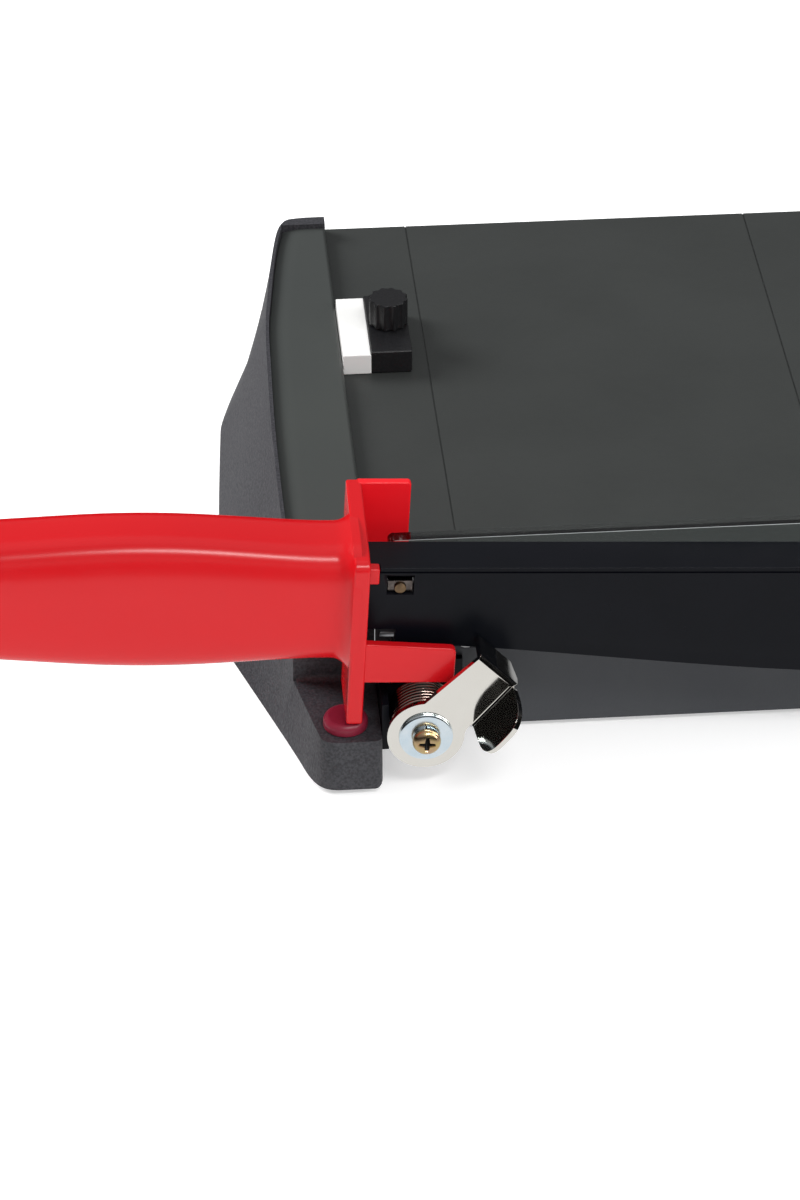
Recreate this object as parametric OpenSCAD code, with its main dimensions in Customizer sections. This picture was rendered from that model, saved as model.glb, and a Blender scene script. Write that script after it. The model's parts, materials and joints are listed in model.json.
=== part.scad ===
// Lever cutter for vinyl tile, sheet and card.
// Layout frame, in millimetres: x runs along the cut from the handle end to the pivot end and is
// 0 at the latch pivot, y runs across the table and is 0 at the latch plate's outer face, and z is
// 0 on the bench. Every sub-part is drawn in that layout and placed() moves it, so that the
// model's origin is the middle of its footprint.

/* [Table] */
// Height of the table top above the bench
table_z = 40; // [39:0.5:42]
// Thickness of the table sheet
table_t = 1.8; // [1.5:0.1:2]
// Outer face of the rail under the blade
rail_near = 29.6; // [29.4:0.1:29.8]
// Far edge of the table
table_far = 262; // [250:1:280]
// Distance of the first format groove from the latch pivot
groove_a = 15; // [10:0.5:40]
// Distance of the second format groove from the latch pivot
groove_b = 128.7; // [100:0.1:200]

/* [End caps] */
// Height of the bumper foot's top above the bench
foot_top = 17.5; // [16:0.5:18]
// Height of the smooth paper ledge above the bench
ledge_top = 44; // [43:0.5:46]
// Width of the smooth paper ledge
ledge_w = 23.9; // [22:0.1:23.9]
// Height that the rubber feet stand out below the caps
feet_h = 2; // [1.6:0.1:2]

/* [Arm] */
// Distance from the latch pivot to the arm's pivot
pivot_x = 330; // [328:1:331]
// Height of the arm's pivot above the bench
pivot_z = 38; // [37.5:0.1:38.5]
// Angle that the closed arm rises towards the handle
arm_tilt = 2.94; // [2.9:0.01:3]
// Length from the arm's pivot to the handle's hand plate
arm_len = 346.6; // [346:0.1:347]
// Outer side face of the arm
arm_near = 11.7; // [11.5:0.1:11.9]
// Wall thickness of the arm channel
arm_wall = 3; // [2.5:0.1:3]
// Thickness of the blade
blade_t = 2.5; // [2:0.1:2.6]
// Depth of the blade's edge below the arm
blade_drop = 6.5; // [6:0.1:7]

/* [Handle] */
// Length of the grip beyond the hand plate
grip_len = 128; // [120:1:135]
// Width of the grip across the table
grip_w = 26; // [24:0.5:28]
// Thickness of the hand plate
plate_t = 4.6; // [4:0.1:5]

/* [Latch] */
// Height of the latch pivot above the bench
latch_z = 20; // [19.5:0.1:20.5]
// Thickness of the latch sheet
latch_t = 1.6; // [1.2:0.1:1.8]
// Radius of the latch's round end
latch_r = 11.1; // [10:0.1:11.5]
// Direction of the released latch above the horizontal
latch_angle = 43.5; // [40:0.5:46]

/* [Guard] */
// Height of the clear guard's top above the bench
guard_top = 67.9; // [64:0.1:68]
// Thickness of the clear guard
guard_t = 4.5; // [3:0.1:4.5]
// Free height under the guard, where the work slides in
guard_gap = 4.6; // [4.4:0.1:5]

/* [Back stop] */
// Distance of the sliding stop from the layout's zero line
stop_y = 167.5; // [120:0.5:200]
// Length of the sliding stop along the ledge
stop_len = 36; // [30:1:40]

/* [Hidden] */
$fn = 48;

// Small amount that a cutting shape runs past the face it cuts
e = 1;
// Plane where the cap mouldings meet the rails and the table
cap_in = -12.2;
table_x0 = cap_in;
table_x1 = 342.2;
mid_x = (cap_in + table_x1) / 2;
rail_t = 1.8;
rail_flange = 14;
sheet_low = table_z - table_t;
near_wall_y = 34;
cap_shell = 3;
rim_h = 1.5;

// Cut plane: the blade's inner face runs on it and the lower knife stands behind it
cut_y = 26;
knife_h = 8.5;
knife_x0 = -8;
knife_x1 = 305;
knife_screw_x = [14, 110, 205, 293];
knife_screw_z = table_z - knife_h / 2;
rib_x = [75, 165, 255];

arm_far = cut_y - blade_t - 0.1;
cover_w = 14.5;
cover_t = 1.5;
beam_w = cover_w - cover_t;
beam_end_r = 13;
edge_low = -11.4;
edge_belly = 10.8;
edge_power = 1.6;
blade_screw_u = [-318, -250, -180, -110, -45];

bolt_r = 4;
running = 0.05;
latch_rest_r = 3;
stop_y1 = stop_y + stop_len;
bumper_at = [-22.3, 10.5];
bumper_stem_r = 2.5;
stop_top = 48;
shoe_x1 = -3.2;
insert_r = 3.4;
knob_at = [3.5, stop_y + 18];

guard_y = 29;
guard_x0 = -8.5;
guard_x1 = 338;

// Latch frame: a runs along the latch from its pivot, b square to it
latch_reach = 29.75;
latch_b0 = -6.83;
latch_b1 = 8.56;
hook_deep = 11.2;
// Thumb tab: its bend line's ends, how far it stands out, and how far it leans past square
tab_at = [11.2, -8.97];
tab_end = [29.75, -6.83];
tab_deep = 14.4;
tab_lean = 9.4;
tab_square = 0.6;
tab_len = norm(tab_end - tab_at) - 0.8;
tab_turn = atan2(tab_end[1] - tab_at[1], tab_end[0] - tab_at[0]);

// Latch stack, from the bracket out: sleeve, latch, washer, split lock washer, screw head
bracket_y = 15;
bracket_x0 = -12.1;
bracket_t = 2;
bracket_screw_x = [-4, 8];
washer_y = -1.1;
lock_y = -2.2;
head_y = -4.9;
head_r = 4.1;
m4_r = 2;
small_screw_r = 1.6;
small_head_r = 2.8;
mount_screw_r = 1.75;
mount_head_r = 3.4;
spring_r = 9.1;
wire_r = 0.75;
spring_turns = 6.5;
spring_steps = 20;
spring_y0 = latch_t + wire_r + 0.1;
spring_y1 = bracket_y - wire_r - 0.05;
spring_n = spring_turns * spring_steps;

// The pivot bracket's ear stands clear of the guard above the table, so it is thinner than its foot
ear_y = guard_y - 0.1;
nut_y = 3.6;
nut_t = 6.5;
pivot_screw_x = [314, 325, 336];
pivot_screw_z = 10;

guard_back = guard_y + guard_t;
guard_screw_at = [[-4, 51], [331, 54], [331, 62.5]];
block_screw_at = [331, guard_back + 6];
block_top = guard_top - 4;
ledge_screw_at = [-29, guard_back + 4, ledge_top];

hand_top = 23.9;
hand_top_near = 20.2;
hand_corner_r = 3;
hand_low = -34.5;
hand_near = 4.5;
hand_far = 44.7;
pan_head = 2.4;
// Centre line of the grip, as y and as w in the arm frame
grip_y = 20;
grip_w0 = 2.2;
grip_end = -arm_len - plate_t - grip_len;
grip_hole_at = [17.6, 2.3];
rivet_u = [-328, -306];
tang_nut_at = [-337.2, 7.5];
tang_screw_r = 1.7;
m5_r = 2.5;
bush_r = 6;

// Farthest points of the whole model, which set its origin
box_x0 = pivot_x - (arm_len + plate_t + grip_len) * cos(arm_tilt) - (3 - grip_w0) * sin(arm_tilt);
box_x1 = 2 * mid_x + 54;
box_y0 = -tab_deep * cos(tab_lean) - latch_t * sin(tab_lean);
box_y1 = table_far;

module placed() translate([-(box_x0 + box_x1) / 2, -(box_y0 + box_y1) / 2, 0]) children();

// Arm frame: u along the arm from its pivot (the handle is at negative u), y as in the layout,
// and w square to the arm
module on_arm() translate([pivot_x, 0, pivot_z]) rotate([0, arm_tilt, 0]) children();

// Extrudes a drawing in the x-z plane from y0 to y1
module along_y(y0, y1) translate([0, y1, 0]) rotate([90, 0, 0]) linear_extrude(y1 - y0) children();

// Extrudes a drawing in the y-z plane from x0 to x1
module along_x(x0, x1) translate([x0, 0, 0]) rotate([90, 0, 90]) linear_extrude(x1 - x0) children();

// Round bar along y
module rod_y(at, y0, y1, r) translate([at[0], y0, at[1]]) rotate([-90, 0, 0]) cylinder(h=y1 - y0, r=r);

// Cone along y, from radius r0 at y0 to r1 at y1
module cone_y(at, y0, y1, r0, r1)
    translate([at[0], y0, at[1]]) rotate([-90, 0, 0]) cylinder(h=y1 - y0, r1=r0, r2=r1);

// Hexagon bar along y
module hex_y(at, y0, y1, r)
    translate([at[0], y0, at[1]]) rotate([-90, 0, 0]) cylinder(h=y1 - y0, r=r, $fn=6);

module box(x0, x1, y0, y1, z0, z1) translate([x0, y0, z0]) cube([x1 - x0, y1 - y0, z1 - z0]);

// Thin slab of an outline at height z, for hulls
module slab(z, points) translate([0, 0, z]) linear_extrude(0.01) polygon(points);

// Both ends of the base: the front as drawn, the rear as its mirror image
module at_rear() translate([2 * mid_x, 0, 0]) mirror([1, 0, 0]) children();

// ---- base ----------------------------------------------------------------------------------

module table_plate() color([0.26, 0.265, 0.26]) difference() {
    box(table_x0, table_x1, rail_near, table_far, sheet_low, table_z);
    for (x = [groove_a, groove_b])
        box(x - 0.25, x + 0.25, rail_near - e, table_far + e, table_z - 0.3, table_z + e);
    translate([block_screw_at[0], block_screw_at[1], sheet_low - e])
        cylinder(h=table_t + 2 * e, r=small_screw_r);
}

// Plan outlines of an end cap at the bench, at the foot's top and at the ledge
cap_low = [[cap_in, 0], [-24.5, 0], [-28, 0.8], [-31, 3.2], [-34, 10.5], [-50.7, 62], [-53, 73],
    [-54, 88], [-54, 133], [-52.4, 168], [-50.3, 198], [-49.4, 204], [-35.6, 255], [-33.4, 260],
    [-29, 262],
    [cap_in, 262]];
cap_side = [[-42.7, 66], [-45.5, 80], [-47.2, 96], [-47.8, 115], [-47.8, 133], [-46.4, 165],
    [-44.2, 197], [-43.2, 203], [-31, 250], [-29, 256.5], [-25, 260.4], [cap_in, 261.4]];
cap_mid = concat([[cap_in, 1.8], [-25, 1.8], [-28.2, 3.6], [-29.8, 8], [-35.5, 33.6]], cap_side);
cap_wall_low = concat([[cap_in, near_wall_y], [-35.6, near_wall_y]], cap_side);
cap_wall_top = [[cap_in, near_wall_y], [-36, near_wall_y], [-36.6, 100], [-36.4, 170],
    [-34.6, 205], [-31, 234], [-28, 250], [-25.5, 256], [-21.5, 259.8], [cap_in, 260.8]];
cap_hollow_low = [[-11, 37], [-36, 37], [-48, 70], [-50, 133], [-46, 195], [-32, 250], [-11, 250]];
cap_hollow_top = [[-11, 37], [-32, 37], [-33, 100], [-33, 170], [-30, 220], [-24, 248], [-11, 248]];
cap_foot_at = [[-21, 15], [-23, 238]];
cap_lug_y = [[rail_near + rail_t + 0.2, rail_near + rail_flange - 2],
    [table_far - rail_flange + 2, table_far - rail_t - 0.2]];
// Lugs that reach into the rails; the cap screws stop screw_bite into them
lug_z = 16;
lug_h = 10;
screw_bite = 5;

// An end cap whose inner shelf stands at shelf_z and whose rim stands at rim_z
module cap_body(shelf_z, rim_z) {
    difference() {
        union() {
            hull() {
                slab(feet_h, cap_low);
                slab(foot_top, cap_mid);
            }
            hull() {
                slab(foot_top, cap_wall_low);
                slab(rim_z, cap_wall_top);
            }
        }
        hull() {
            slab(feet_h - e, cap_hollow_low);
            slab(shelf_z - cap_shell, cap_hollow_top);
        }
        box(-60, 0, -e, near_wall_y, foot_top, 60);
        box(-60, 0, -e, 280, rim_z, 60);
    }
    for (y = cap_lug_y) box(-22, 6, y[0], y[1], lug_z, lug_z + lug_h);
    translate([cap_foot_at[1][0], cap_foot_at[1][1], feet_h]) cylinder(h=shelf_z - feet_h - e, r=8);
}

module cap_holes() {
    for (p = cap_foot_at) translate([p[0], p[1], -e]) cylinder(h=8 + e, r=1.5);
    for (y = cap_lug_y)
        translate([0, (y[0] + y[1]) / 2, 0]) cylinder(h=lug_z + screw_bite + 3, r=small_screw_r);
}

module front_cap() color([0.23, 0.23, 0.245]) difference() {
    cap_body(sheet_low, ledge_top + rim_h);
    box(table_x0 - ledge_w + 0.8, 0, near_wall_y - e, table_far - 6, sheet_low, 60);
    translate([bumper_at[0], bumper_at[1], foot_top - 8]) cylinder(h=9, r=bumper_stem_r);
    cap_holes();
}

module rear_cap() color([0.23, 0.23, 0.245]) at_rear() difference() {
    cap_body(sheet_low, table_z);
    cap_holes();
}

// Smooth ledge that the sheet is squared against, undercut for the sliding stop
module paper_ledge() color([0.29, 0.295, 0.29]) difference() {
    hull() {
        box(table_x0 - ledge_w + 0.9, table_x0, near_wall_y, table_far - 6.1, sheet_low, ledge_top - 1);
        box(table_x0 - ledge_w + 0.9, table_x0 - 1, near_wall_y, table_far - 6.1, sheet_low, ledge_top);
    }
    box(table_x0 - 3, table_x0 + e, 60, table_far - 10, table_z + 0.6, table_z + 2.4);
}

// Channel rail with its web outside; near is 1 on the blade side and -1 on the far side
module rail(y, near) {
    y_web = near > 0 ? y : y - rail_t;
    y_flange = near > 0 ? y : y - rail_flange;
    box(cap_in, table_x1, y_web, y_web + rail_t, feet_h, sheet_low);
    for (z = [feet_h, sheet_low - rail_t])
        box(cap_in, table_x1, y_flange, y_flange + rail_flange, z, z + rail_t);
}

module blade_side_rail() color([0.29, 0.3, 0.31]) difference() {
    rail(rail_near, 1);
    for (x = knife_screw_x) rod_y([x, knife_screw_z], rail_near - e, rail_near + rail_t + e, m4_r);
    for (x = bracket_screw_x) rod_y([x, 12], rail_near - e, rail_near + rail_t + e, mount_screw_r);
    for (x = pivot_screw_x) rod_y([x, pivot_screw_z], rail_near - e, rail_near + rail_t + e, mount_screw_r);
    translate([block_screw_at[0], block_screw_at[1], sheet_low - rail_t - e])
        cylinder(h=rail_t + 2 * e, r=small_screw_r);
    rail_cap_holes(0);
}

module far_side_rail() color([0.29, 0.3, 0.31]) difference() {
    rail(table_far, -1);
    rail_cap_holes(1);
}

// Clearance holes for the cap screws in the bottom flange
module rail_cap_holes(side) {
    y = (cap_lug_y[side][0] + cap_lug_y[side][1]) / 2;
    for (x = [0, 2 * mid_x]) translate([x, y, feet_h - e]) cylinder(h=rail_t + 2 * e, r=small_screw_r);
}

// Folded ribs that tie the two rails together under the table
module cross_ribs() color([0.35, 0.36, 0.37]) for (x = rib_x) difference() {
    union() {
        box(x - 10, x + 10, rail_near + rail_t, table_far - rail_t, 16, sheet_low - rail_t);
        box(x - 10, x + 10, rail_near + rail_flange, table_far - rail_flange, 30, sheet_low);
    }
    box(x - 8.4, x + 8.4, rail_near, table_far, 10, sheet_low - rail_t - 1.6);
}

module lower_knife() color([0.55, 0.56, 0.58]) difference() {
    box(knife_x0, knife_x1, cut_y, rail_near, table_z - knife_h, table_z);
    for (x = knife_screw_x) {
        rod_y([x, knife_screw_z], cut_y - e, rail_near + e, m4_r);
        cone_y([x, knife_screw_z], cut_y - 0.01, cut_y + 1.81, 3.85, m4_r);
    }
}

module knife_screws() color([0.45, 0.46, 0.48]) for (x = knife_screw_x) {
    rod_y([x, knife_screw_z], cut_y + 1.8, rail_near + rail_t, m4_r);
    difference() {
        cone_y([x, knife_screw_z], cut_y, cut_y + 1.8, 3.8, m4_r);
        hex_y([x, knife_screw_z], cut_y - e, cut_y + 1.2, 1.3);
    }
}

module blade_guard() color([0.8, 0.85, 0.88, 0.35]) {
    tip_r = 2;
    low = table_z + guard_gap;
    difference() {
        along_y(guard_y, guard_back) union() {
            translate([guard_x0, low]) square([guard_x1 - guard_x0, guard_top - low - tip_r]);
            translate([guard_x0 + tip_r, guard_top - 3]) square([guard_x1 - guard_x0 - tip_r, 3]);
            translate([guard_x0 + tip_r, guard_top - tip_r]) circle(r=tip_r);
        }
        for (p = guard_screw_at) rod_y(p, guard_y - e, guard_back + e, small_screw_r);
    }
}

module guard_front_bracket() color([0.12, 0.12, 0.13]) difference() {
    union() {
        box(-33, -1, guard_back, guard_back + 7.5, ledge_top, ledge_top + 1.5);
        box(-7, -1, guard_back, guard_back + 1.5, ledge_top, ledge_top + 11);
    }
    rod_y(guard_screw_at[0], guard_back - e, guard_back + 3, small_screw_r);
    translate(ledge_screw_at) translate([0, 0, -e]) cylinder(h=4, r=small_screw_r);
}

module guard_rear_block() color([0.12, 0.12, 0.13]) difference() {
    box(322, 340, guard_back, guard_back + 12, table_z, block_top);
    for (i = [1, 2]) rod_y(guard_screw_at[i], guard_back - e, guard_back + 3, small_screw_r);
    translate([block_screw_at[0], block_screw_at[1], table_z - e])
        cylinder(h=block_top - table_z + 2 * e, r=small_screw_r);
}

module guard_screws() color([0.7, 0.7, 0.68]) {
    for (p = guard_screw_at) {
        rod_y(p, guard_y - 1.5, guard_y, small_head_r);
        rod_y(p, guard_y, guard_back + (p[0] < 0 ? 3.4 : 3), small_screw_r);
    }
    difference() {
        hex_y(guard_screw_at[0], guard_back + 1.5, guard_back + 3.9, 3.1);
        rod_y(guard_screw_at[0], guard_back + 1, guard_back + 3.4, small_screw_r);
    }
    translate(ledge_screw_at) {
        translate([0, 0, 1.5]) cylinder(h=pan_head, r=small_head_r);
        cylinder(h=1.5, r=small_screw_r);
    }
    translate([block_screw_at[0], block_screw_at[1], sheet_low - 4]) {
        cylinder(h=block_top - sheet_low + 4, r=small_screw_r);
        translate([0, 0, block_top - sheet_low + 4]) cylinder(h=pan_head, r=small_head_r);
    }
}

// Rubber stop that the hand plate lands on
module bumper() color([0.5, 0.08, 0.18]) translate([bumper_at[0], bumper_at[1], foot_top]) {
    rotate_extrude() intersection() {
        union() {
            square([4.6, 3.7]);
            square([6.45, 1.9]);
            translate([4.6, 1.85]) circle(r=1.85);
        }
        square([10, 3.7]);
    }
    translate([0, 0, -6]) cylinder(h=6, r=bumper_stem_r);
}

module rubber_feet() color([0.08, 0.08, 0.08]) {
    foot_pads();
    at_rear() foot_pads();
}

module foot_pads() for (p = cap_foot_at) translate([p[0], p[1], 0]) {
    cylinder(h=feet_h, r=7);
    cylinder(h=feet_h + 6, r=1.5);
}

module cap_screws() color([0.6, 0.6, 0.6]) for (x = [0, 2 * mid_x], y = cap_lug_y)
    translate([x, (y[0] + y[1]) / 2, feet_h]) {
        translate([0, 0, -1.4]) cylinder(h=1.4, r=3.2);
        cylinder(h=lug_z + screw_bite, r=small_screw_r);
    }

// ---- safety latch --------------------------------------------------------------------------

module latch_bracket() color([0.15, 0.16, 0.17]) difference() {
    union() {
        along_x(bracket_x0, bracket_x0 + bracket_t)
            polygon([[6, 11.5], [18, 5], [rail_near, 5], [rail_near, 27], [6, 27]]);
        along_y(bracket_y, bracket_y + bracket_t) union() {
            translate([bracket_x0 + bracket_t, 9]) square([10, 18]);
            translate([0, latch_z]) circle(r=10);
        }
        box(bracket_x0 + bracket_t, 13, rail_near - bracket_t, rail_near, 5, 27);
    }
    rod_y([0, latch_z], bracket_y - e, bracket_y + bracket_t + e, m4_r);
    for (x = bracket_screw_x) rod_y([x, 12], rail_near - bracket_t - e, rail_near + e, mount_screw_r);
}

module bracket_screws() color([0.5, 0.5, 0.52]) for (x = bracket_screw_x) {
    rod_y([x, 12], rail_near - bracket_t - pan_head, rail_near - bracket_t, mount_head_r);
    rod_y([x, 12], rail_near - bracket_t, rail_near + 5, mount_screw_r);
}

module latch_sleeve() color([0.65, 0.66, 0.68]) difference() {
    rod_y([0, latch_z], -0.1, bracket_y, latch_rest_r);
    rod_y([0, latch_z], -e, bracket_y + e, m4_r + 0.1);
}

// Point k of the ring of wire around point i of the coil, and its place in the list of points
wire_sides = 8;
function coil_point(i, k) = let (
        a = 360 * i / spring_steps,
        b = 360 * k / wire_sides,
        r = spring_r + wire_r * cos(b),
        y = spring_y0 + (spring_y1 - spring_y0) * i / spring_n)
    [r * cos(a), y + wire_r * sin(b), latch_z + r * sin(a)];
function coil_index(i, k) = i * wire_sides + k % wire_sides;

module latch_spring() color([0.72, 0.68, 0.64]) polyhedron(
    points=[for (i = [0:spring_n], k = [0:wire_sides - 1]) coil_point(i, k)],
    faces=concat(
        [[for (k = [0:wire_sides - 1]) k]],
        [for (i = [0:spring_n - 1], k = [0:wire_sides - 1])
            [coil_index(i, k), coil_index(i + 1, k), coil_index(i + 1, k + 1)]],
        [for (i = [0:spring_n - 1], k = [0:wire_sides - 1])
            [coil_index(i, k), coil_index(i + 1, k + 1), coil_index(i, k + 1)]],
        [[for (k = [wire_sides - 1:-1:0]) coil_index(spring_n, k)]]));

module latch_washer() color([0.74, 0.8, 0.84]) difference() {
    rod_y([0, latch_z], washer_y, -0.1, 7.75);
    rod_y([0, latch_z], washer_y - e, e, m4_r + 0.1);
}

// Split ring under the screw's head
module latch_lock_washer() color([0.72, 0.72, 0.7]) difference() {
    rod_y([0, latch_z], lock_y, washer_y, head_r - 0.15);
    rod_y([0, latch_z], lock_y - e, washer_y + e, m4_r + 0.1);
    box(-0.4, 0.4, lock_y - e, washer_y + e, latch_z + m4_r - 0.5, latch_z + head_r + e);
}

module latch_screw() color([0.72, 0.6, 0.38]) {
    difference() {
        translate([0, lock_y, latch_z]) rotate([90, 0, 0]) rotate_extrude() intersection() {
            translate([0, lock_y - head_y - 6]) circle(r=6);
            square([head_r, lock_y - head_y]);
        }
        for (a = [4, 94])
            translate([0, head_y, latch_z]) rotate([0, a, 0]) cube([4.6, 3, 1], center=true);
    }
    rod_y([0, latch_z], lock_y, bracket_y + bracket_t + 4.2, m4_r);
}

module latch_nut() color([0.6, 0.6, 0.62]) difference() {
    hex_y([0, latch_z], bracket_y + bracket_t, bracket_y + bracket_t + 3.2, 4);
    rod_y([0, latch_z], bracket_y, bracket_y + 10, m4_r);
}

module on_latch() translate([0, 0, latch_z]) rotate([0, -latch_angle, 0]) children();

// Edge of the thumb tab at share t of its length, as a squared half oval
function tab_point(t) = let (c = cos(t), s = sin(t))
    [tab_len * (1 - sign(c) * pow(abs(c), tab_square)) / 2, -tab_deep * pow(abs(s), tab_square)];

module latch_plate() color([0.85, 0.85, 0.82]) on_latch() difference() {
    union() {
        // flat blank, whose edge stops halfway into the thumb tab
        along_y(0, latch_t) union() {
            circle(r=latch_r);
            polygon([[0, latch_b1], [latch_reach, latch_b1], [latch_reach, latch_b0 + 0.7],
                tab_at + [0.4, 0.7], [4, -7.4]]);
        }
        // hook flange, bent to the inside over the fin, with one corner cut off
        translate([latch_reach - latch_t, 0, 0]) rotate([90, 0, 90]) linear_extrude(latch_t)
            polygon([[0.4, latch_b0 + 0.7], [3.5, latch_b0 + 0.7], [hook_deep, latch_b0 + 4],
                [hook_deep, latch_b1], [0.4, latch_b1]]);
        // thumb tab, bent to the outside
        translate([tab_at[0], 0, tab_at[1]]) rotate([0, -tab_turn, 0]) rotate([tab_lean, 0, 0])
            linear_extrude(latch_t)
            polygon(concat([[0, latch_t]], [for (t = [0:9:180]) tab_point(t)], [[tab_len, latch_t]]));
    }
    rod_y([0, 0], -e, latch_t + e, latch_rest_r + running);
}

// ---- arm pivot -----------------------------------------------------------------------------

module pivot_bracket() color([0.2, 0.21, 0.22]) difference() {
    union() {
        along_y(cut_y + 0.3, ear_y) union() {
            translate([pivot_x, pivot_z]) circle(r=12);
            translate([pivot_x - 12, pivot_z - 12]) square([24, 12]);
        }
        box(308, 342, cut_y + 0.3, rail_near, 5, pivot_z - 8);
    }
    rod_y([pivot_x, pivot_z], cut_y - e, rail_near + e, bolt_r);
    cone_y([pivot_x, pivot_z], cut_y + 0.39, ear_y + 0.01, bolt_r, 6.55);
    for (x = pivot_screw_x) rod_y([x, pivot_screw_z], cut_y - e, rail_near + e, mount_screw_r);
}

module pivot_backplate() color([0.2, 0.21, 0.22]) difference() {
    box(308, 341, rail_near + rail_t, rail_near + rail_t + 3, feet_h + rail_t, lug_z - 0.2);
    for (x = pivot_screw_x) rod_y([x, pivot_screw_z], rail_near, rail_near + 10, mount_screw_r);
}

module pivot_screws() color([0.5, 0.5, 0.52]) for (x = pivot_screw_x) {
    rod_y([x, pivot_screw_z], cut_y + 0.3 - pan_head, cut_y + 0.3, mount_head_r);
    rod_y([x, pivot_screw_z], cut_y + 0.3, rail_near + rail_t + 4.5, mount_screw_r);
}

// Bolt with its flush head in the bracket and its thread towards the outside
module pivot_bolt() color([0.7, 0.7, 0.7]) {
    cone_y([pivot_x, pivot_z], cut_y + 0.4, ear_y, bolt_r, 6.5);
    rod_y([pivot_x, pivot_z], nut_y - 1.6, cut_y + 0.4, bolt_r);
}

module pivot_nut() color([0.7, 0.7, 0.7]) difference() {
    hex_y([pivot_x, pivot_z], nut_y, nut_y + nut_t, 7.5);
    rod_y([pivot_x, pivot_z], nut_y - e, nut_y + 10, bolt_r);
}

module pivot_disc_spring() color([0.5, 0.5, 0.52]) difference() {
    cone_y([pivot_x, pivot_z], nut_y + nut_t, arm_near - 0.1, 6, 9);
    rod_y([pivot_x, pivot_z], nut_y, arm_near + e, bolt_r);
}

module pivot_spacer() color([0.72, 0.6, 0.35]) difference() {
    rod_y([pivot_x, pivot_z], arm_far + 0.1, cut_y + 0.3, 11);
    rod_y([pivot_x, pivot_z], arm_far - e, cut_y + 2, bolt_r);
}

// ---- arm -----------------------------------------------------------------------------------

// Curved lower edge of the arm in the arm frame, over its whole length
function low_edge(u) = edge_low - edge_belly * pow(max(0, 1 - pow((u + 172) / 160, 2)), edge_power);
edge_u = [-arm_len, for (u = [-332:10:-12]) u];

module arm_outline() {
    polygon(concat([[0, beam_w], [-arm_len, beam_w]], [for (u = edge_u) [u, low_edge(u)]],
        [[0, -beam_end_r]]));
    circle(r=beam_end_r);
}

module arm_beam() color([0.11, 0.115, 0.13]) on_arm() difference() {
    along_y(arm_near, arm_far) arm_outline();
    // open channel under the top wall
    box(-arm_len - e, -30, arm_near + arm_wall, arm_far - arm_wall, -30, beam_w - arm_wall);
    // front corner cut back below the window, where the blade's end shows
    box(-arm_len - e, -338, arm_near - e, arm_near + arm_wall + e, -30, -6);
    // window over the tang nut
    box(-341.1, -333.4, arm_near - e, arm_near + arm_wall, 5.8, 12.3);
    // notch for the handle's lug
    box(-arm_len - e, -343.2, arm_near - e, 14.1, 9.6, 16);
    rod_y([0, 0], arm_near - e, arm_far + e, bush_r);
    for (u = blade_screw_u) rod_y([u, 3], arm_far - arm_wall - e, arm_far + e, m5_r);
    for (u = rivet_u) rod_y([u, 2], arm_far - arm_wall - e, arm_far + e, m5_r);
}

module arm_cover() color([0.12, 0.125, 0.14]) on_arm() difference() {
    box(-arm_len, -4, arm_near + 0.4, cut_y, beam_w, cover_w);
    box(-arm_len - e, -343.2, arm_near - e, 14.1, 9.6, 16);
}

module arm_bush() color([0.72, 0.55, 0.3]) on_arm() difference() {
    rod_y([0, 0], arm_near, arm_far, bush_r);
    rod_y([0, 0], arm_near - e, arm_far + e, bolt_r + running);
}

module blade() color([0.5, 0.51, 0.53]) on_arm() difference() {
    along_y(cut_y - blade_t, cut_y)
        polygon(concat([[-16, beam_w - 0.1], [-341, beam_w - 0.1], [-341, low_edge(-332) - blade_drop]],
            [for (u = [-332:10:-12]) [min(u, -16), low_edge(u) - blade_drop]]));
    for (u = blade_screw_u) {
        rod_y([u, 3], cut_y - blade_t - e, cut_y + e, m5_r);
        cone_y([u, 3], cut_y - 1.91, cut_y + 0.01, m5_r, 4.45);
    }
}

module blade_screws() color([0.45, 0.46, 0.48]) on_arm() for (u = blade_screw_u) difference() {
    union() {
        rod_y([u, 3], arm_far - arm_wall, cut_y - 1.9, m5_r);
        cone_y([u, 3], cut_y - 1.9, cut_y, m5_r, 4.4);
    }
    hex_y([u, 3], cut_y - 1.5, cut_y + e, 1.5);
}

// ---- handle --------------------------------------------------------------------------------

// Half height and half width of the grip against the distance from the hand plate
grip_half_h = [[0, 22.8], [1, 20.9], [2.5, 19.6], [5, 19.1], [22, 19.2], [40, 21.2], [62, 22],
    [84, 21], [98, 19.3], [112, 16.8], [121, 12.5], [126, 7], [grip_len, 3]];
grip_half_w = [[0, grip_w / 2 + 2.2], [1, grip_w / 2 + 0.9], [2.5, grip_w / 2 + 0.3], [5, grip_w / 2],
    [98, grip_w / 2], [112, grip_w / 2 - 1.5], [121, grip_w / 2 - 4], [126, 5], [grip_len, 2]];
grip_at = [0, 1, 2.5, 5, 13, 22, 31, 40, 51, 62, 73, 84, 98, 105, 112, 117, 121, 124, 126, grip_len];
grip_sides = 32;
function squared(c) = sign(c) * pow(abs(c), 0.62);
function grip_point(d, k) = let (a = 360 * k / grip_sides)
    [-arm_len - plate_t - d, grip_y + lookup(d, grip_half_w) * squared(cos(a)),
     grip_w0 + lookup(d, grip_half_h) * squared(sin(a))];

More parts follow.
